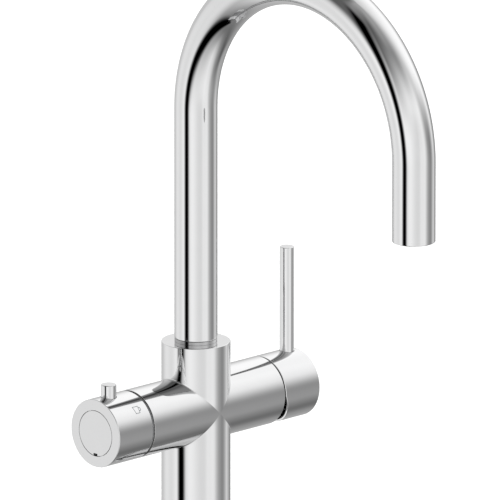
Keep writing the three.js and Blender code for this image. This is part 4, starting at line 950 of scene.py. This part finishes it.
def boiling_nozzle():
    radius, height = NOZZLE_RADIUS, NOZZLE_HEIGHT
    flange, flange_low, flange_high = NOZZLE_FLANGE
    seat, seat_floor = NOZZLE_SEAT
    outline = at_aerator([
        (NOZZLE_BORE, 0, SOFT_EDGE), (radius, 0, NOZZLE_EDGE), (radius, flange_low),
        (flange, flange_low, FINE_EDGE), (flange, flange_high, FINE_EDGE), (radius, flange_high),
        (radius, height, SOFT_EDGE), (seat, height), (seat, seat_floor), (NOZZLE_BORE, seat_floor),
    ])
    return lathe("boiling_outlet", outline, SMALL_ROUND, AT_OUTLET)


# ---- Small pieces on the controls ----


def set_screw_plug():
    place, radius, low, high = PLUG
    outline = profile([(0, low), (radius, low, EDGE), (radius, high), (0, high)])
    return lathe("handle_plug", outline, SMALL_ROUND, upright_on(1, place))


def slide_ring():
    """The cone-shaped plastic ring that the knob runs over, which fills the seam beside it."""
    bore, foot, tip, end = SLIDE_RING
    outline = profile([
        (bore, KNOB_ARM_LENGTH), (foot, KNOB_ARM_LENGTH), (tip, end), (bore, end),
    ], closed=True)
    return lathe("knob_slide_ring", outline, ROUND, arm_frame(-1))


def cover_pad():
    """The dark pad behind the cover disc, which shows in its notch and round its rim."""
    radius, back, front = PAD
    outline = profile([(0, back), (radius, back), (radius, front), (0, front)])
    return lathe("cover_pad", outline, ROUND, arm_frame(-1))


def knob_spring():
    """The knob's return spring between the valve's neck and the knob's insert."""
    radius, wire, turns = SPRING_COIL
    low, high = SPRING_SPAN
    around = [2 * math.pi * k / SPRING_ROUND for k in range(SPRING_ROUND)]
    rows = []
    for i in range(SPRING_STEPS + 1):
        t = i / SPRING_STEPS
        angle = 2 * math.pi * turns * t
        outwards = Vector((math.cos(angle), math.sin(angle), 0))
        centre = outwards * radius + Vector((0, 0, low + wire + t * (high - low - 2 * wire)))
        rows.append([
            centre + outwards * (wire * math.cos(a)) + Vector((0, 0, wire * math.sin(a)))
            for a in around
        ])
    bm = bmesh.new()
    stitch(bm, rows)
    for row in (rows[0], rows[-1]):
        bm.faces.new([bm.verts.new(p) for p in row])
    bmesh.ops.transform(bm, matrix=arm_frame(-1), verts=bm.verts)
    return finish_mesh(bm, "knob_spring")


def on_knob(along, up, radius):
    """A point on the knob's printed patch, in mm along the barrel and up its round side."""
    angle = math.radians(PRINT_ANGLE) + up / BODY_RADIUS
    return Vector((
        PRINT_PLACE + along, -radius * math.cos(angle), BARREL_HEIGHT + radius * math.sin(angle)
    ))


def printed_line(bm, points, closed):
    """A thin raised line through points of the patch, mitred at its corners."""
    count = len(points)
    pairs = []
    for i, here in enumerate(points):
        before = points[i - 1] if closed or i else here
        after = points[(i + 1) % count] if closed or i < count - 1 else here
        ways = [w.normalized() for w in (here - before, after - here) if w.length > 0]
        normal = sum((Vector((-w.y, w.x)) for w in ways), Vector((0, 0))).normalized()
        stretch = 1 / max(LEAST_MITRE, normal.dot(Vector((-ways[0].y, ways[0].x))))
        offset = normal * (PRINT_WIDTH / 2 * stretch)
        pairs.append((here + offset, here - offset))
    low, high = BODY_RADIUS - PRINT_ROOT, BODY_RADIUS + PRINT_RISE
    rows = [
        [on_knob(*a, low), on_knob(*a, high), on_knob(*b, high), on_knob(*b, low)] for a, b in pairs
    ]
    stitch(bm, [*rows, rows[0]] if closed else rows)
    if not closed:
        for row in (rows[0], rows[-1]):
            bm.faces.new([bm.verts.new(p) for p in row])


def subdivided(corners, closed):
    """Points along straight lines, no further apart than PRINT_STEP."""
    points = []
    ends = corners[1:] + corners[:1] if closed else corners[1:]
    for a, b in zip(corners, ends):
        parts = math.ceil((b - a).length / PRINT_STEP)
        points += [a.lerp(b, k / parts) for k in range(parts)]
    return points if closed else [*points, corners[-1]]


def cup_print():
    """A plain cup in outline, which marks the side for hot drinks."""
    bm = bmesh.new()
    for corners, closed in ((CUP_BOWL, True), (CUP_GRIP, False)):
        printed_line(bm, subdivided([Vector(c) for c in corners], closed), closed)
    return finish_mesh(bm, "cup_print")


dress(body_casting(), "tap_body", "chrome", "body_casting")
dress(base_ring(), "tap_body", "chrome", "base_ring")
dress(swivel_ring(), "tap_body", "bearing_plastic", "swivel_ring", look="satin")
dress(spout_tube(), "spout", "chrome", "spout_tube")
dress(handle_shell(), "mixer_handle", "chrome", "mixer_handle_shell")
# The liner's near-black paints the shade in the handle's slanted gap
dress(handle_liner(), "mixer_handle", "bearing_plastic", look="dark")
dress(lever(), "mixer_handle", "chrome", "lever_rod")
dress(knob_shell(), "boiling_knob", "chrome", "boiling_knob_shell")
dress(knob_pin(), "boiling_knob", "chrome", "boiling_knob_pin")
dress(cover_disc(), "boiling_knob", "chrome", "knob_cover_disc")
dress(cover_pad(), "boiling_knob", "rubber")
dress(slide_ring(), "tap_body", "bearing_plastic", look="slide")
dress(cup_print(), "boiling_knob", "bearing_plastic", look="print")
dress(set_screw_plug(), "mixer_handle", "bearing_plastic", "set_screw_plug")
dress(threaded_shank(), "tap_body", "brass", "mounting_shank")
dress(shank_nut(), "tap_body", "brass", "shank_nut")
rubber_washer = washer("rubber_washer", WASHER_RADIUS, RUBBER_SPAN, EDGE)
dress(rubber_washer, "tap_body", "rubber", "deck_washer_rubber")
steel_washer = washer("steel_washer", WASHER_RADIUS, STEEL_SPAN, WASHER_EDGE)
dress(steel_washer, "tap_body", "steel", "deck_washer_steel")
seal_radius, seal_bore, seal_height = SEAL_RING
base_seal = washer("base_seal", seal_radius, (0, seal_height), SOFT_EDGE, seal_bore)
dress(base_seal, "tap_body", "rubber", "base_gasket")
dress(aerator_housing(), "spout", "bearing_plastic", "aerator_housing")
dress(aerator_grille(), "spout", "bearing_plastic", "aerator_grille")
dress(boiling_nozzle(), "spout", "steel", "boiling_nozzle")

# In the tap the spring shortens between the turning stem and the pushed knob. Here it is one fixed
# coil on neither body
spring = knob_spring()
spring.data.materials.append(MATERIALS["steel"])
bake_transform(spring)
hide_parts("push_spring")

# The photograph's chrome mirrors no fixings
for name in ("threaded_shank", "backing_nut", "rubber_washer", "steel_washer"):
    bpy.data.objects[name].visible_glossy = False

# CAD nodes that stay get the material of their slot. Those behind the handle's seam get the
# near-black material instead, as painted shade in the seam
PAINTED_SHADE_BEHIND_SEAM = ("cartridge_nut", "cartridge_carrier", "mixer_cartridge_housing")
for part in frame["record"]["subparts"]:
    node = frame["nodes"][part["node"]]
    if not node.hide_render:
        look = "dark" if part["node"] in PAINTED_SHADE_BEHIND_SEAM else part["material_slot"]
        node.data.materials.clear()
        node.data.materials.append(MATERIALS[look])


# ---- Studio ----


def card(nodes, light, azimuth, elevation, box, level):
    """Lays a soft-edged card over the studio's light.

    box holds the azimuth of its middle, its half width and edge softness, and then the
    heights and softness of its lower and its upper edge, all in degrees.
    """
    middle, half, soft, low, low_soft, high, high_soft = box
    from_middle = nodes.math("SUBTRACT", azimuth, middle)
    away = nodes.math("ABSOLUTE", nodes.math("WRAP", from_middle, 180.0, -180.0))
    mask = nodes.remap(away, half + soft, half - soft)
    for edge, softness in ((low, low_soft), (high, -high_soft)):
        side = nodes.remap(elevation, edge - softness, edge + softness)
        mask = nodes.math("MULTIPLY", mask, side)
    return nodes.mix_number(mask, light, level)


# Round figures, found by trial against the reflections in the photograph. The later cards lie on
# top of the earlier ones
STUDIO = {
    # card: (azimuth, half width, softness, low edge, softness, high edge, softness), level
    "key box": ((-125, 60, 15, -45, 40, 35, 20), 1.3),
    "key box's shade": ((-105, 20, 30, -25, 15, 5, 25), 0.3),
    "right box": ((135, 45, 10, -30, 15, 30, 35), 0.8),
    "right box's wing": ((95, 50, 40, -65, 20, 10, 50), 1.2),
    "far grey": ((45, 50, 20, -60, 40, -15, 45), 0.5),
    "top box": ((5, 65, 45, 10, 20, 80, 50), 1.45),
    "top box's tail": ((-10, 10, 20, -35, 15, 25, 5), 1.55),
    "dark above the key": ((-160, 15, 30, 15, 20, 70, 15), 0.1),
    "dark above the right": ((150, 15, 10, 20, 10, 80, 10), 0.15),
    "low grey": ((-30, 35, 5, -35, 10, -20, 35), 0.35),
    "wide strip": ((-95, 20, 70, -70, 15, 5, 15), 1.4),
    "side strip": ((160, 15, 15, -25, 25, 5, 10), 1.35),
    "black card's foot": ((180, 15, 10, -90, 10, -25, 20), 0.0),
    "black card": ((175, 12, 7, -80, 5, 50, 8), 0.0),
}
# Light where no card stands: (elevation, level)
BASE_LEVEL = ((-90, 0.25), (-50, 0.1), (0, 0.05), (60, 0.4), (90, 0.55))


def studio_world():
    """White to the camera. Everything else sees a studio of soft boxes and dark cards."""
    world = bpy.data.worlds.new("studio")
    bpy.context.scene.world = world
    world.use_nodes = True
    nodes = Nodes(world.node_tree)
    direction = nodes.add("ShaderNodeTexCoord").outputs["Generated"]
    split = nodes.add("ShaderNodeSeparateXYZ", {0: direction})
    azimuth = nodes.math("DEGREES", nodes.math("ARCTAN2", split.outputs[1], split.outputs[0]))
    elevation = nodes.math("DEGREES", nodes.math("ARCSINE", split.outputs[2]))
    light = BASE_LEVEL[0][1]
    for (low, _), (high, level) in zip(BASE_LEVEL, BASE_LEVEL[1:]):
        light = nodes.mix_number(nodes.remap(elevation, low, high, smooth=False), light, level)
    for box, level in STUDIO.values():
        light = card(nodes, light, azimuth, elevation, box, level)
    seen = nodes.add("ShaderNodeLightPath").outputs["Is Camera Ray"]
    shade = nodes.mix_number(seen, light, 1.0)
    background = nodes.add("ShaderNodeBackground", {"Color": shade, "Strength": 1.0})
    nodes.add("ShaderNodeOutputWorld", {"Surface": background.outputs[0]})


FLOOR_RADIUS = 6000  # mm
FLOOR_SIDES = 64
FLOOR_COLOUR = (0.9, 0.9, 0.9, 1)
FLOOR_GLOW = 0.55  # light of its own that the camera sees, so that only the shadow is grey


def floor():
    """A pale floor that shows the camera the object's shadow. Metal looks past it at the studio."""
    made = bpy.data.materials.new("pale_floor")
    made.use_nodes = True
    nodes = Nodes(made.node_tree)
    matt = nodes.add("ShaderNodeBsdfDiffuse", {"Color": FLOOR_COLOUR})
    glow = nodes.add("ShaderNodeEmission", {"Color": (1, 1, 1, 1), "Strength": FLOOR_GLOW})
    path = nodes.add("ShaderNodeLightPath").outputs
    lit = nodes.add("ShaderNodeAddShader", {0: matt.outputs[0], 1: glow.outputs[0]})
    choice = {0: path["Is Camera Ray"], 1: matt.outputs[0], 2: lit.outputs[0]}
    pale = nodes.add("ShaderNodeMixShader", choice)
    clear = nodes.add("ShaderNodeBsdfTransparent")
    behind = nodes.add("ShaderNodeNewGeometry").outputs["Backfacing"]
    gone = nodes.math("MAXIMUM", path["Is Glossy Ray"], behind)
    both = nodes.add("ShaderNodeMixShader", {0: gone, 1: pale.outputs[0], 2: clear.outputs[0]})
    nodes.add("ShaderNodeOutputMaterial", {"Surface": both.outputs[0]})
    bm = bmesh.new()
    bmesh.ops.create_circle(bm, cap_ends=True, radius=FLOOR_RADIUS, segments=FLOOR_SIDES)
    plane = finish_mesh(bm, "studio_floor")
    plane.data.materials.append(made)
    plane.location.z = cad_box[0].z


VIEW_AZIMUTH = -44.752  # degrees from the front, and negative on the knob's side
VIEW_ELEVATION = 15.006
VIEW_ROLL = 0.0273
VIEW_TARGET = (46.342, -6.447, 195.263)  # mm
VIEW_DISTANCE = 15.73  # m
VIEW_LENS = 816.9
VIEW_SENSOR = 18  # in the lens's unit, mm
VIEW_END = 100  # m, past the floor's far edge


def camera():
    """The photograph's view: from the front left, 15 degrees above the horizon.

    The photograph shows almost no perspective, so the camera stands far off with a long lens.
    """
    azimuth, elevation = math.radians(VIEW_AZIMUTH), math.radians(VIEW_ELEVATION)
    level = math.cos(elevation)
    back = Vector((
        math.sin(azimuth) * level, -math.cos(azimuth) * level, math.sin(elevation),
    ))
    right = Vector((math.cos(azimuth), math.sin(azimuth), 0))
    right = (right + back.cross(right) * math.tan(math.radians(VIEW_ROLL))).normalized()
    up = back.cross(right)
    data = bpy.data.cameras.new("camera")
    data.lens = VIEW_LENS
    data.sensor_width = VIEW_SENSOR
    data.clip_end = VIEW_END
    eye = bpy.data.objects.new("camera", data)
    stand = Matrix.Translation(Vector(VIEW_TARGET) * MM + back * VIEW_DISTANCE)
    eye.matrix_world = stand @ Matrix((right, up, back)).transposed().to_4x4()
    bpy.context.scene.collection.objects.link(eye)
    bpy.context.scene.camera = eye


studio_world()
floor()
camera()
bpy.context.scene.view_settings.view_transform = "Standard"
